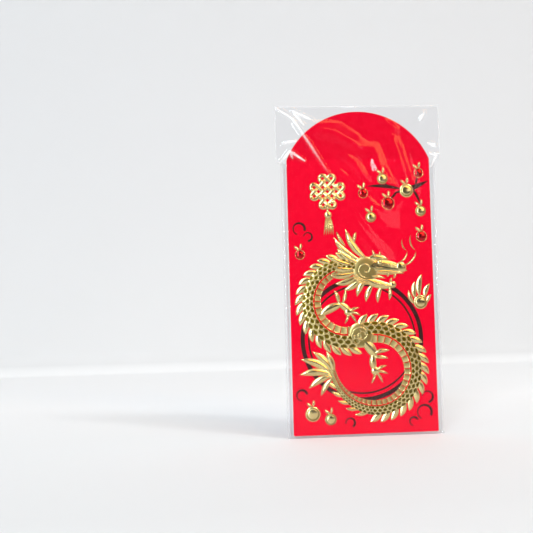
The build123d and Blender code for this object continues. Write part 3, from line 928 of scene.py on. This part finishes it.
def gold_material():
    """Stamped gold foil, polished on its crowns, satin in its hollows and darkened there with painted shade,
    with fine press marks.
    """
    if GOLD_NAME in bpy.data.materials:
        return bpy.data.materials[GOLD_NAME]
    finish = Finish(GOLD_NAME)
    depth = finish.attribute("hollow")
    cloud = finish.cloud(scale=240.0)
    gold = look().foil_gold
    lit = finish.mix(finish.ramp(cloud, *GOLD_CLOUD_SPAN), gold, tone(gold, GOLD_CLOUD_LIGHT))
    # Painted shade: deeper in a hollow, the gold darkens towards the hollow shade colour
    dark = finish.ramp(depth, FOIL_SHADE_DEPTH, 1.0)
    finish.put("Base Color", finish.mix(dark, lit, look().foil_hollow_shade))
    finish.put("Metallic", 1.0)
    roughness = [look().foil_roughness * share for share in GOLD_ROUGHNESS_SHARES]
    polished = finish.ramp(cloud, *NOISE_SPAN, *roughness)
    satin = finish.ramp(depth, 0.0, FOIL_SATIN_DEPTH)
    finish.put("Roughness", finish.mix(satin, polished, (FOIL_SATIN_ROUGHNESS,) * 3))
    finish.bump(finish.cloud(scale=3200.0, detail=2.0), strength=0.25, distance=0.04 * MM)
    return finish.material


def clouded_material(name, colour, lightest, scale, metallic, roughness, coat=0.0):
    """A metallic finish with lighter clouds in its colour."""
    finish = Finish(name)
    cloud = finish.cloud(scale)
    finish.put("Base Color", finish.mix(cloud, colour, tone(colour, lightest)))
    finish.put("Metallic", metallic)
    finish.put("Roughness", finish.ramp(cloud, *NOISE_SPAN, *roughness))
    finish.put("Coat Weight", coat)
    return finish.material


def glue_material():
    """Dried glue with a mottled skin."""
    finish = Finish("paper_glue")
    finish.put("Base Color", finish.mix(finish.cloud(scale=400.0), *GLUE_COLOURS))
    finish.put("Roughness", 0.55)
    return finish.material


def film_material():
    """Clear film with its own reflections, hazy along its welds and the lip's edge, with painted glints along
    its creases.
    """
    finish = Finish("sleeve_film")
    roughness = [look().film_roughness * share for share in FILM_ROUGHNESS_SHARES]
    streaks = finish.ramp(finish.cloud(scale=90.0, detail=3.0), *NOISE_SPAN, *roughness)
    finish.put("Base Color", FILM_HAZE_AND_GLINT_COLOUR)
    finish.put("Roughness", streaks)
    clear = finish.node("ShaderNodeBsdfTransparent", {"Color": FILM_TINT}).outputs["BSDF"]
    gloss = finish.node("ShaderNodeBsdfGlossy", {"Roughness": streaks}).outputs["BSDF"]
    fresnel = finish.node("ShaderNodeFresnel", {"IOR": FILM_IOR}).outputs["Fac"]
    share = finish.ramp(fresnel, 0.0, 1.0, 0.0, look().film_shine)
    shine = finish.node("ShaderNodeMixShader", {"Fac": share, 1: clear, 2: gloss}).outputs["Shader"]
    share = finish.ramp(finish.attribute("haze"), 0.0, 1.0, *FILM_HAZE_AND_GLINT_RANGE)
    haze = finish.principled.outputs["BSDF"]
    film = finish.node("ShaderNodeMixShader", {"Fac": share, 1: shine, 2: haze}).outputs["Shader"]
    finish.feed(finish.nodes["Material Output"].inputs["Surface"], film)
    return finish.material


def paint(node, material):
    """Gives a CAD node a finish."""
    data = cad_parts[node].data
    data.materials.clear()
    data.materials.append(material)


# Operators

class ENVELOPE_OT_card(bpy.types.Operator):
    """Finish the card panels and build the domed flap"""
    bl_idname = "envelope.card"
    bl_label = "Card"

    def execute(self, context):
        whole = card_material("red_card_fold")
        for node in ("left_side_fold", "right_side_fold", "bottom_fold"):
            paint(node, whole)
        for node, ways in BARE_FACES.items():
            paint(node, card_material("red_card_" + node, ways))
        glue = glue_material()
        for node in ("centre_seam_glue", "bottom_flap_glue"):
            paint(node, glue)
        # The flap is the same red card, darkened as painted shade
        self.flap(card_material("red_card_flap", painted_shade=FLAP_PAINTED_SHADE))
        return {"FINISHED"}

    def flap(self, red):
        """The flap as one sheet from the crease up, printed in front and bare behind."""
        half = PANEL_HIGH.x
        height = FLAP_TOP_Z - CREASE_Z
        mesh = bmesh.new()
        grid = bmesh.ops.create_grid(mesh, x_segments=FLAP_COLUMNS, y_segments=FLAP_ROWS, size=1.0)["verts"]
        for vert in grid:
            across = sin(radians(90 * vert.co.x))
            reach = arc_rise((across + 1) / 2, 2 * half, height)
            up = ((vert.co.y + 1) / 2) ** FLAP_CROWDING
            bow = FLAP_BOW * MM * up * up * reach / height
            vert.co = Vector((half * across, PANEL_Y - bow, CREASE_Z + reach * up))
        bmesh.ops.remove_doubles(mesh, verts=mesh.verts, dist=MERGE_GAP * MM)
        bmesh.ops.recalc_face_normals(mesh, faces=mesh.faces)
        front = mesh.faces[:]
        if sum(face.normal.y for face in front) > 0:
            bmesh.ops.reverse_faces(mesh, faces=front)
        back = bmesh.ops.extrude_face_region(mesh, geom=front, use_keep_orig=True)["geom"]
        bmesh.ops.translate(mesh, verts=only(bmesh.types.BMVert, back), vec=(0, CARD, 0))
        bmesh.ops.recalc_face_normals(mesh, faces=mesh.faces)
        for face in mesh.faces:
            face.material_index = 0 if face.normal.y < -0.5 else 1
        piece = new_piece("flap_card", mesh, red, None, ("top_flap",))
        piece.data.materials.append(inside_material())
        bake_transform(piece)


class ENVELOPE_OT_dragon(bpy.types.Operator):
    """Build the raised gold dragon"""
    bl_idname = "envelope.dragon"
    bl_label = "Dragon"

    def execute(self, context):
        gold = gold_material()
        self.body(gold)
        self.legs(gold)
        self.head(gold)
        for name, strokes, rise in (
                ("horns", HORN_STROKES, RELIEF),
                ("mane", MANE_STROKES, RELIEF * MANE_RISE),
                ("whiskers", WHISKER_STROKES, LOW_RELIEF)):
            piece = Foil()
            add_strokes(piece, strokes, rise, MIDDLE_RIDGE, place=head_point)
            piece.finish("dragon_" + name + "_foil", gold, ("dragon_" + name,))
        return {"FINISHED"}

    def body(self, gold):
        """Trunk, tail, back fins and the tuft at the tail's end."""
        front, hind, tail = body_arcs()
        for name, arcs in (("front", (front,)), ("hind", (hind, tail))):
            body = Foil()
            for arc in arcs:
                add_body(body, arc)
            body.finish("dragon_" + name + "_body_foil", gold, ("dragon_" + name + "_body",))
        fins = Foil()
        for arc, size in ((front, 1.0), (hind, 1.0), (tail, TAIL_FIN_SIZE)):
            add_fins(fins, arc, size)
        fins.finish("dragon_back_fin_foil", gold, ("dragon_back_fins",))
        tuft = Foil()
        add_strokes(tuft, TUFT_STROKES, RELIEF, SHARP_RIDGE, polar(tail[0], TAIL_RADIUS, TAIL_END_ANGLE))
        tuft.finish("dragon_tail_tuft_foil", gold, ("dragon_tail_tuft",))

    def legs(self, gold):
        """Front leg from the shoulder, and hind leg with the spiral of its haunch."""
        haunch = polar(FRONT_RING_CENTRE, FRONT_RING_RADIUS, HIND_RING_ANGLE)
        shoulder = polar(FRONT_RING_CENTRE, FRONT_RING_RADIUS - SHOULDER_DEPTH, SHOULDER_ANGLE)
        for name, strokes, paw, origin in (("front", FRONT_LEG_STROKES, FRONT_PAW, shoulder),
                                           ("hind", HIND_LEG_STROKES, HIND_PAW, haunch)):
            leg = Foil()
            add_strokes(leg, strokes, RELIEF, ROUND_RIDGE, origin)
            leg.dome((paw[0][0] + origin[0], paw[0][1] + origin[1]), paw[1], RELIEF, round_boss)
            if name == "hind":
                leg.dome(haunch, HAUNCH_RADIUS, RELIEF * DISC_RISE, disc_boss)
                leg.line(spiral(haunch, *HAUNCH_SPIRAL), DETAIL_WIDTH, DETAIL_RISE, DETAIL_BASE,
                         HAUNCH_SPIRAL_STEPS)
            leg.finish("dragon_" + name + "_leg_foil", gold, ("dragon_" + name + "_leg",))

    def head(self, gold):
        """Jaws, cheek and eye, and the fine lines that lie on them."""
        head = Foil()
        cheek = head_point(CHEEK[0])
        add_strokes(head, HEAD_STROKES, RELIEF, ROUND_RIDGE, place=head_point)
        head.dome(cheek, CHEEK[1], RELIEF * DISC_RISE, disc_boss)
        for centre, radius in (NOSE, CHIN):
            head.dome(head_point(centre), radius, RELIEF * NOSE_RISE, round_boss)
        head.line(spiral(cheek, *CHEEK_SPIRAL), DETAIL_WIDTH, DETAIL_RISE, DETAIL_BASE, CHEEK_SPIRAL_STEPS)
        for radius in GILL_RADII:
            head.line(spiral(cheek, radius, radius, *GILL_ANGLES), DETAIL_WIDTH, RELIEF, LOW_RELIEF)
        for base, tip, width, bend in DETAIL_STROKES:
            head.stroke(head_point(base), head_point(tip), width, bend, DETAIL_RISE, ROUND_RIDGE, DETAIL_BASE)
        head.dome(head_point(NOSTRIL[0]), NOSTRIL[1], DETAIL_RISE, dimpled_boss)
        head.dome(head_point(EYE[0]), EYE[1], DETAIL_RISE, rimmed_boss)
        head.finish("dragon_head_foil", gold, ("dragon_head",))


class ENVELOPE_OT_charms(bpy.types.Operator):
    """Build the pearl, the knot with its tassel and the fruits"""
    bl_idname = "envelope.charms"
    bl_label = "Charms"

    def execute(self, context):
        gold = gold_material()
        pearl = Foil()
        pearl.dome(*PEARL, RELIEF, rimmed_boss)
        pearl.finish("pearl_foil", gold, ("flaming_pearl",))
        flames = Foil()
        add_strokes(flames, PEARL_STROKES, LOW_RELIEF, SHARP_RIDGE)
        flames.finish("pearl_flame_foil", gold, ("pearl_flames",))
        self.knot(gold)
        self.tassel(gold)
        self.fruits(gold)
        return {"FINISHED"}

    def knot(self, gold):
        """Crossing cords that pass over and under each other, joined by half rings."""
        knot = Foil()
        half = KNOT_PITCH * 2
        for index, position in enumerate(KNOT_BARS):
            for lies in (0, 1):
                def cord(share, side, index=index, position=position, lies=lies):
                    run = (2 * share - 1) * half
                    offset = position * KNOT_PITCH + side * KNOT_CORD_WIDTH / 2
                    wave = cos(pi * (run / KNOT_PITCH - 0.5 + index + lies))
                    dip = KNOT_DIP * (0.5 + 0.5 * wave) * smooth_step(half, half - KNOT_PITCH, abs(run))
                    place = turned((offset, run) if lies else (run, offset), KNOT_TURN, KNOT_CENTRE)
                    # Painted shade where a cord dips under the cord that crosses it, and at its feet
                    depth = dip * KNOT_DIP_DEPTH + side ** 4 * FOOT_DEPTH
                    return *place, (RELIEF - dip) * sqrt(1 - side * side), depth
                knot.patch(KNOT_CORD_STEPS, STROKE_ROWS, cord)
        for middle in (-KNOT_PITCH, KNOT_PITCH):
            for side in (-1, 1):
                for lies in (0, 1):
                    def loop(share, across, middle=middle, side=side, lies=lies):
                        angle = pi * (share - 0.5)
                        radius = KNOT_PITCH / 2 + across * KNOT_CORD_WIDTH / 2
                        out = side * (half + radius * cos(angle))
                        aside = middle + radius * sin(angle)
                        place = turned((aside, out) if lies else (out, aside), KNOT_TURN, KNOT_CENTRE)
                        return *place, RELIEF * sqrt(1 - across * across), across ** 4 * FOOT_DEPTH
                    knot.patch(KNOT_LOOP_STEPS, STROKE_ROWS, loop)
        knot.finish("lucky_knot_foil", gold, ("lucky_knot",))

    def tassel(self, gold):
        """A short cord, a round cap and hanging strands."""
        tassel = Foil()
        top = KNOT_CENTRE[1] - (KNOT_PITCH * KNOT_BARS[-1] + KNOT_CORD_WIDTH / 2) * sqrt(2)
        cap = (KNOT_CENTRE[0], top - HANGER_LENGTH)
        tassel.stroke((cap[0], cap[1] - TASSEL_CAP_RADIUS), (cap[0], top + HANGER_LENGTH / 2),
                      HANGER_WIDTH, HANGER_BEND, LOW_RELIEF)
        middle = (TASSEL_STRANDS - 1) / 2
        for index in range(TASSEL_STRANDS):
            lean = (index - middle) / middle
            base = (cap[0] + lean * TASSEL_CAP_RADIUS / 2, cap[1])
            tip = (cap[0] + lean * TASSEL_SPREAD, cap[1] - TASSEL_LENGTH)
            tassel.stroke(base, tip, TASSEL_STRAND_WIDTH, TASSEL_STRAND_BEND, LOW_RELIEF, MIDDLE_RIDGE)
        tassel.dome(cap, TASSEL_CAP_RADIUS, RELIEF, round_boss)
        tassel.finish("knot_tassel_foil", gold, ("knot_tassel",))

    def fruits(self, gold):
        """Gold fruits, red fruits in gold rims, and the pair of leaves on each."""
        golden = Foil()
        for centre, radius in GOLD_FRUITS:
            golden.dome(centre, radius, RELIEF, rimmed_boss)
        golden.finish("gold_fruit_foil", gold, ("gold_fruits",))
        red = Foil()
        rims = Foil()
        for centre, radius in RED_FRUITS:
            red.dome(centre, radius - FRUIT_RIM_WIDTH, RELIEF, round_boss)

            def rim(share, across, centre=centre, radius=radius):
                place = polar(centre, radius - FRUIT_RIM_WIDTH * (0.5 - across / 2), 360 * share)
                return *place, LOW_RELIEF * sqrt(1 - across * across), 0.0
            rims.patch(FRUIT_RIM_STEPS, FRUIT_RIM_ROWS, rim)
        lacquer = clouded_material("red_lacquer", look().fruit_red, lightest=1.8, scale=350.0, metallic=0.85,
                                   roughness=(0.1, 0.2), coat=0.2)
        red.finish("red_fruit_gloss", lacquer, ("red_fruits",), "red_card")
        rims.finish("red_fruit_rim_foil", gold, ("red_fruit_rims",))
        leaves = Foil()
        for centre, radius in GOLD_FRUITS + RED_FRUITS:
            seat = (centre[0], centre[1] + radius - FRUIT_LEAF_SEAT)
            add_strokes(leaves, FRUIT_LEAVES, LOW_RELIEF, LEAF_RIDGE, seat)
        leaves.finish("fruit_leaf_foil", gold, ("fruit_leaves",))


class ENVELOPE_OT_bronze(bpy.types.Operator):
    """Finish the flat bronze foil"""
    bl_idname = "envelope.bronze"
    bl_label = "Bronze foil"

    def execute(self, context):
        bronze = clouded_material("flat_bronze", look().foil_bronze, lightest=1.6, scale=300.0, metallic=0.6,
                                  roughness=(0.3, 0.45))
        for node in ("bronze_moon_ring", "bronze_branch", "bronze_scrolls"):
            paint(node, bronze)
        return {"FINISHED"}


class ENVELOPE_OT_sleeve(bpy.types.Operator):
    """Build the clear sleeve with its welds, wrinkles and standing lip"""
    bl_idname = "envelope.sleeve"
    bl_label = "Sleeve"

    def execute(self, context):
        film = film_material()
        front = self.sheet("sleeve_front", film, -1, LIP_HIGH.z, (
            "sleeve_front_film", "lip_film", "sleeve_left_side", "sleeve_right_side", "sleeve_floor"))
        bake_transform(front)
        back = self.sheet("sleeve_back", film, 1, BACK_FILM_HIGH.z, (
            "sleeve_back_film", "left_weld", "right_weld", "bottom_weld"))
        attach(back, "sleeve")
        return {"FINISHED"}

    def nearest(self, points, x, z, reach):
        """Squared distance from a broken line and the share of it passed there, or None past the reach."""
        passed = 0.0
        best = (reach * reach, None)
        for start, end in zip(points, points[1:]):
            run = (end[0] - start[0], end[1] - start[1])
            length = hypot(*run)
            ahead = ((x - start[0]) * run[0] + (z - start[1]) * run[1]) / length
            ahead = min(max(ahead, 0.0), length)
            foot = (start[0] + run[0] * ahead / length, start[1] + run[1] * ahead / length)
            gap = (x - foot[0]) ** 2 + (z - foot[1]) ** 2
            if gap < best[0]:
                best = (gap, passed + ahead)
            passed += length
        return best[0], None if best[1] is None else best[1] / passed

    def ridges(self, x, z):
        """Height of the front film's ridges at a place, in millimetres, and how strong the painted glint on
        its creases is.
        """
        height = 0.0
        white = 0.0
        for points, rise, width, *painted_glint_ends in FILM_WAVES + FILM_CREASES:
            gap, share = self.nearest(points, x, z, RIDGE_REACH * width)
            if share is None:
                continue
            swell = sqrt(sin(pi * part_way(RIDGE_END, 1 - RIDGE_END, share)))
            height += rise * swell * exp(-gap / (width * width))
            # Painted glint: a white line of haze along the crease
            if painted_glint_ends:
                patch = noise.noise(Vector((x, z, 0.0)) / CREASE_PATCH)
                level = part_way(*painted_glint_ends, share) * (CREASE_PATCH_MEAN + CREASE_PATCH_SWING * patch)
                line = CREASE_LINE * part_way(CREASE_THIN, 1.0, sin(pi * share))
                white = max(white, min(level, 1.0) * exp(-gap / (line * line)))
        return height * look().wrinkle_height, white

    def waves(self, x, z, side):
        """Height of a film's sway and crinkles at a place, in millimetres."""
        sway = noise.noise(Vector((x * SWAY_TURNS[0], side * SWAY_SEED, z * SWAY_TURNS[1])))
        crinkle = noise.fractal(Vector((x, side * CRINKLE_SEED, z)) / (CRINKLE_PITCH * MM), *CRINKLE_FRACTAL)
        loose = part_way(TIGHT_SHARE, 1.0, past_crease(LOOSE_RUN, z))
        return max(sway * SWAY_HEIGHT + SWAY_MEAN, 0.0) + (crinkle + 1) / 2 * CRINKLE_HEIGHT * loose

    def row_heights(self, top_z):
        """Heights of a film's rows of points: far apart where it is plain, closest where the lip folds."""
        stops = [(0.0, FILM_CELL * MM), (FILM_PLAIN_Z[0] * MM, FILM_PLAIN_CELL * MM)]
        if top_z > CREASE_Z:
            fold = LIP_FOLD_RUN * MM
            stops += [(FILM_PLAIN_Z[1] * MM, FILM_CELL * MM), (CREASE_Z, fold / LIP_FOLD_ROWS),
                      (CREASE_Z + fold, FILM_CELL * MM)]
        heights = []
        for (low, cell), (high, _) in zip(stops, stops[1:] + [(top_z, 0.0)]):
            count = ceil((high - low) / cell)
            heights += [low + (high - low) * index / count for index in range(count)]
        return heights + [top_z]

    def sheet(self, name, film, side, top_z, nodes):
        """One film of the bag: flat over the envelope, drawn in to the welds at its sides and its bottom."""
        front = side < 0
        plane_y = FRONT_FILM_Y if front else BACK_FILM_HIGH.y
        mesh = bmesh.new()
        haze = mesh.verts.layers.float.new("haze")
        columns = int(2 * WELD_EDGE_X / (FILM_CELL * MM))
        heights = self.row_heights(top_z)
        rows = len(heights) - 1
        for vert in bmesh.ops.create_grid(mesh, x_segments=columns, y_segments=rows, size=1.0)["verts"]:
            z = heights[round((vert.co.y + 1) / 2 * rows)]
            lip = past_crease(LIP_RUN, z) if front else 0.0
            half = part_way(WELD_EDGE_X, LIP_HIGH.x, lip)
            x = half * vert.co.x
            inward = (half - abs(x)) / MM

            drawn = part_way(smooth_step(half - WELD_FLAT * MM, PANEL_HIGH.x, abs(x)), 1.0, lip)
            drawn *= sqrt(smooth_step(*FOOT_RUN, z / MM))
            lift, white = self.ridges(x / MM, (z - PANEL_LOW.z) / MM) if front else (0.0, 0.0)
            lift += self.waves(x, z, side)
            if not front:
                lift *= 1 - past_crease(FLAT_RUN, z)
            y = drawn * (plane_y + side * lift * MM)

            weld = smooth_step(*WELD_BAND, inward) * (1 - lip)
            foot = smooth_step(*FOOT_BAND, z / MM) * FOOT_HAZE_SHARE
            edge = smooth_step(LIP_EDGE_BAND, 0.0, min(inward, (LIP_HIGH.z - z) / MM))
            # Haze of the welds, the foot and the lip's edge, and the creases' painted glint
            vert[haze] = max(white, max(weld, foot) * WELD_HAZE, edge * lip * LIP_EDGE_HAZE)
            vert.co = Vector((x, y, z))
        bmesh.ops.recalc_face_normals(mesh, faces=mesh.faces)
        if sum(face.normal.y for face in mesh.faces) * side < 0:
            bmesh.ops.reverse_faces(mesh, faces=mesh.faces)
        piece = new_piece(name, mesh, film, None, nodes, SMOOTH_ANGLE)
        wall = piece.modifiers.new("Film", "SOLIDIFY")
        wall.thickness = FILM_THICKNESS * MM
        wall.offset = -1.0
        return piece


class ENVELOPE_OT_stage(bpy.types.Operator):
    """Set the floor, the wall, the lamps and the camera"""
    bl_idname = "envelope.stage"
    bl_label = "Stage"

    def execute(self, context):
        self.backdrop()
        self.lamps()
        self.world()
        self.camera()
        context.scene.view_settings.view_transform = "Standard"
        return {"FINISHED"}

    def backdrop(self):
        """A floor that turns up into a wall through a rounded corner."""
        corner_y = stage_look().wall_distance - CORNER_RADIUS
        mesh = bmesh.new()
        near = [mesh.verts.new((x, -FLOOR_REACH, 0)) for x in (-FLOOR_HALF_WIDTH, FLOOR_HALF_WIDTH)]
        made = bmesh.ops.extrude_edge_only(mesh, edges=[mesh.edges.new(near)])["geom"]
        back = only(bmesh.types.BMVert, made)
        bmesh.ops.translate(mesh, verts=back, vec=(0, FLOOR_REACH + corner_y, 0))
        back_edge = back + only(bmesh.types.BMEdge, made)
        corner = bmesh.ops.spin(mesh, geom=back_edge, cent=(0, corner_y, CORNER_RADIUS), axis=(1, 0, 0),
                                angle=pi / 2, steps=CORNER_STEPS)["geom_last"]
        raised = bmesh.ops.extrude_edge_only(mesh, edges=only(bmesh.types.BMEdge, corner))["geom"]
        bmesh.ops.translate(mesh, verts=only(bmesh.types.BMVert, raised), vec=(0, 0, WALL_HEIGHT))
        bmesh.ops.remove_doubles(mesh, verts=mesh.verts, dist=MM)
        bmesh.ops.recalc_face_normals(mesh, faces=mesh.faces)
        new_mesh("studio_floor", mesh, self.backdrop_material())

    def backdrop_material(self):
        """A pale floor that is dark far in front and lightest along the wall as painted light, and a pale
        wall, lighter above the floor as painted light.
        """
        stage = stage_look()
        finish = Finish("studio_floor")
        place = finish.node("ShaderNodeSeparateXYZ", {"Vector": finish.coordinates["Object"]}).outputs
        far = tone(stage.floor_colour, FLOOR_FAR_SHARE)
        ground = finish.mix(finish.ramp(place["Y"], *FLOOR_FADE), far, stage.floor_colour)
        # Painted light: the floor is lighter towards the wall
        ground = finish.mix(finish.ramp(place["Y"], *FLOOR_RISE), ground, stage.floor_back_colour)
        # Painted light: the wall is lighter just above the floor
        wall = finish.mix(finish.ramp(place["Z"], 0.0, WALL_FADE), stage.wall_low_colour, stage.wall_colour)
        plain = finish.mix(finish.ramp(place["Z"], 0.0, CORNER_RADIUS / 2), ground, wall)
        mottle = finish.ramp(finish.cloud(scale=3.0), 0.0, 1.0, 0.0, FLOOR_MOTTLE)
        finish.put("Base Color", finish.mix(mottle, plain, (0.0, 0.0, 0.0)))
        finish.put("Roughness", 0.7)
        return finish.material

    def lamps(self):
        """Two soft lamps in front, a white strip high at the right, and a warm strip over a dim pane."""
        for name, power, place, width, height, roll, colour in LAMPS:
            lamp = bpy.data.lights.new(name, "AREA")
            lamp.shape = "RECTANGLE"
            lamp.energy = getattr(stage_look(), power)
            lamp.color = colour
            lamp.size = width
            lamp.size_y = height
            turn = (Vector(LAMP_TARGET) - Vector(place)).to_track_quat("-Z", "Y")
            holder = new_object(name, lamp)
            holder.matrix_world = (Matrix.Translation(place) @ turn.to_matrix().to_4x4()
                                   @ Matrix.Rotation(radians(roll), 4, "Z"))

    def world(self):
        """Even soft light, with the dim end of the room in front of the envelope."""
        world = bpy.data.worlds.new("studio_world")
        bpy.context.scene.world = world
        tree = NodeTree(world)
        towards = tree.facing(tree.coordinates["Generated"], Vector(DIM_END).normalized())
        dim = tree.ramp(towards, cos(radians(DIM_OUTER)), cos(radians(DIM_INNER)))
        light = stage_look().room_light
        colour = tree.mix(dim, (light,) * 3, (light * stage_look().dim_share,) * 3)
        tree.feed(tree.nodes["Background"].inputs["Color"], colour)

    def camera(self):
        """The photograph's own view."""
        camera = bpy.data.cameras.new("photo_camera")
        camera.sensor_width = SENSOR_WIDTH
        camera.sensor_fit = "HORIZONTAL"
        camera.lens = SENSOR_WIDTH * FOCAL_PIXELS / PHOTO_PIXELS
        camera.clip_start = CLIP_START
        holder = new_object("photo_camera", camera)
        place = Vector(CAMERA_PLACE) + Vector((0, PANEL_Y, PANEL_LOW.z))
        turn = (Matrix.Rotation(radians(CAMERA_AZIMUTH), 4, "Z")
                @ Matrix.Rotation(radians(90 + CAMERA_PITCH), 4, "X")
                @ Matrix.Rotation(radians(CAMERA_ROLL), 4, "Z"))
        holder.matrix_world = Matrix.Translation(place) @ turn
        bpy.context.scene.camera = holder


class ENVELOPE_PT_panel(bpy.types.Panel):
    """Shows all colours and finishes, and a button for each group of pieces"""
    bl_idname = "ENVELOPE_PT_panel"
    bl_label = "Red Envelope"
    bl_space_type = "VIEW_3D"
    bl_region_type = "UI"
    bl_category = "Envelope"

    def draw(self, context):
        for group in (context.scene.envelope_look, context.scene.envelope_stage):
            for name in group.__annotations__:
                self.layout.prop(group, name)
        for operator in OPERATORS:
            self.layout.operator(operator.bl_idname)


OPERATORS = (
    ENVELOPE_OT_card,
    ENVELOPE_OT_dragon,
    ENVELOPE_OT_charms,
    ENVELOPE_OT_bronze,
    ENVELOPE_OT_sleeve,
    ENVELOPE_OT_stage,
)
CLASSES = (EnvelopeLook, StageLook, *OPERATORS, ENVELOPE_PT_panel)


def register():
    for item in CLASSES:
        bpy.utils.register_class(item)
    bpy.types.Scene.envelope_look = PointerProperty(type=EnvelopeLook)
    bpy.types.Scene.envelope_stage = PointerProperty(type=StageLook)


def unregister():
    del bpy.types.Scene.envelope_stage
    del bpy.types.Scene.envelope_look
    for item in reversed(CLASSES):
        bpy.utils.unregister_class(item)


def main():
    register()
    bpy.ops.envelope.card()
    bpy.ops.envelope.dragon()
    bpy.ops.envelope.charms()
    bpy.ops.envelope.bronze()
    bpy.ops.envelope.sleeve()
    bpy.ops.envelope.stage()


if __name__ == "__main__":
    main()
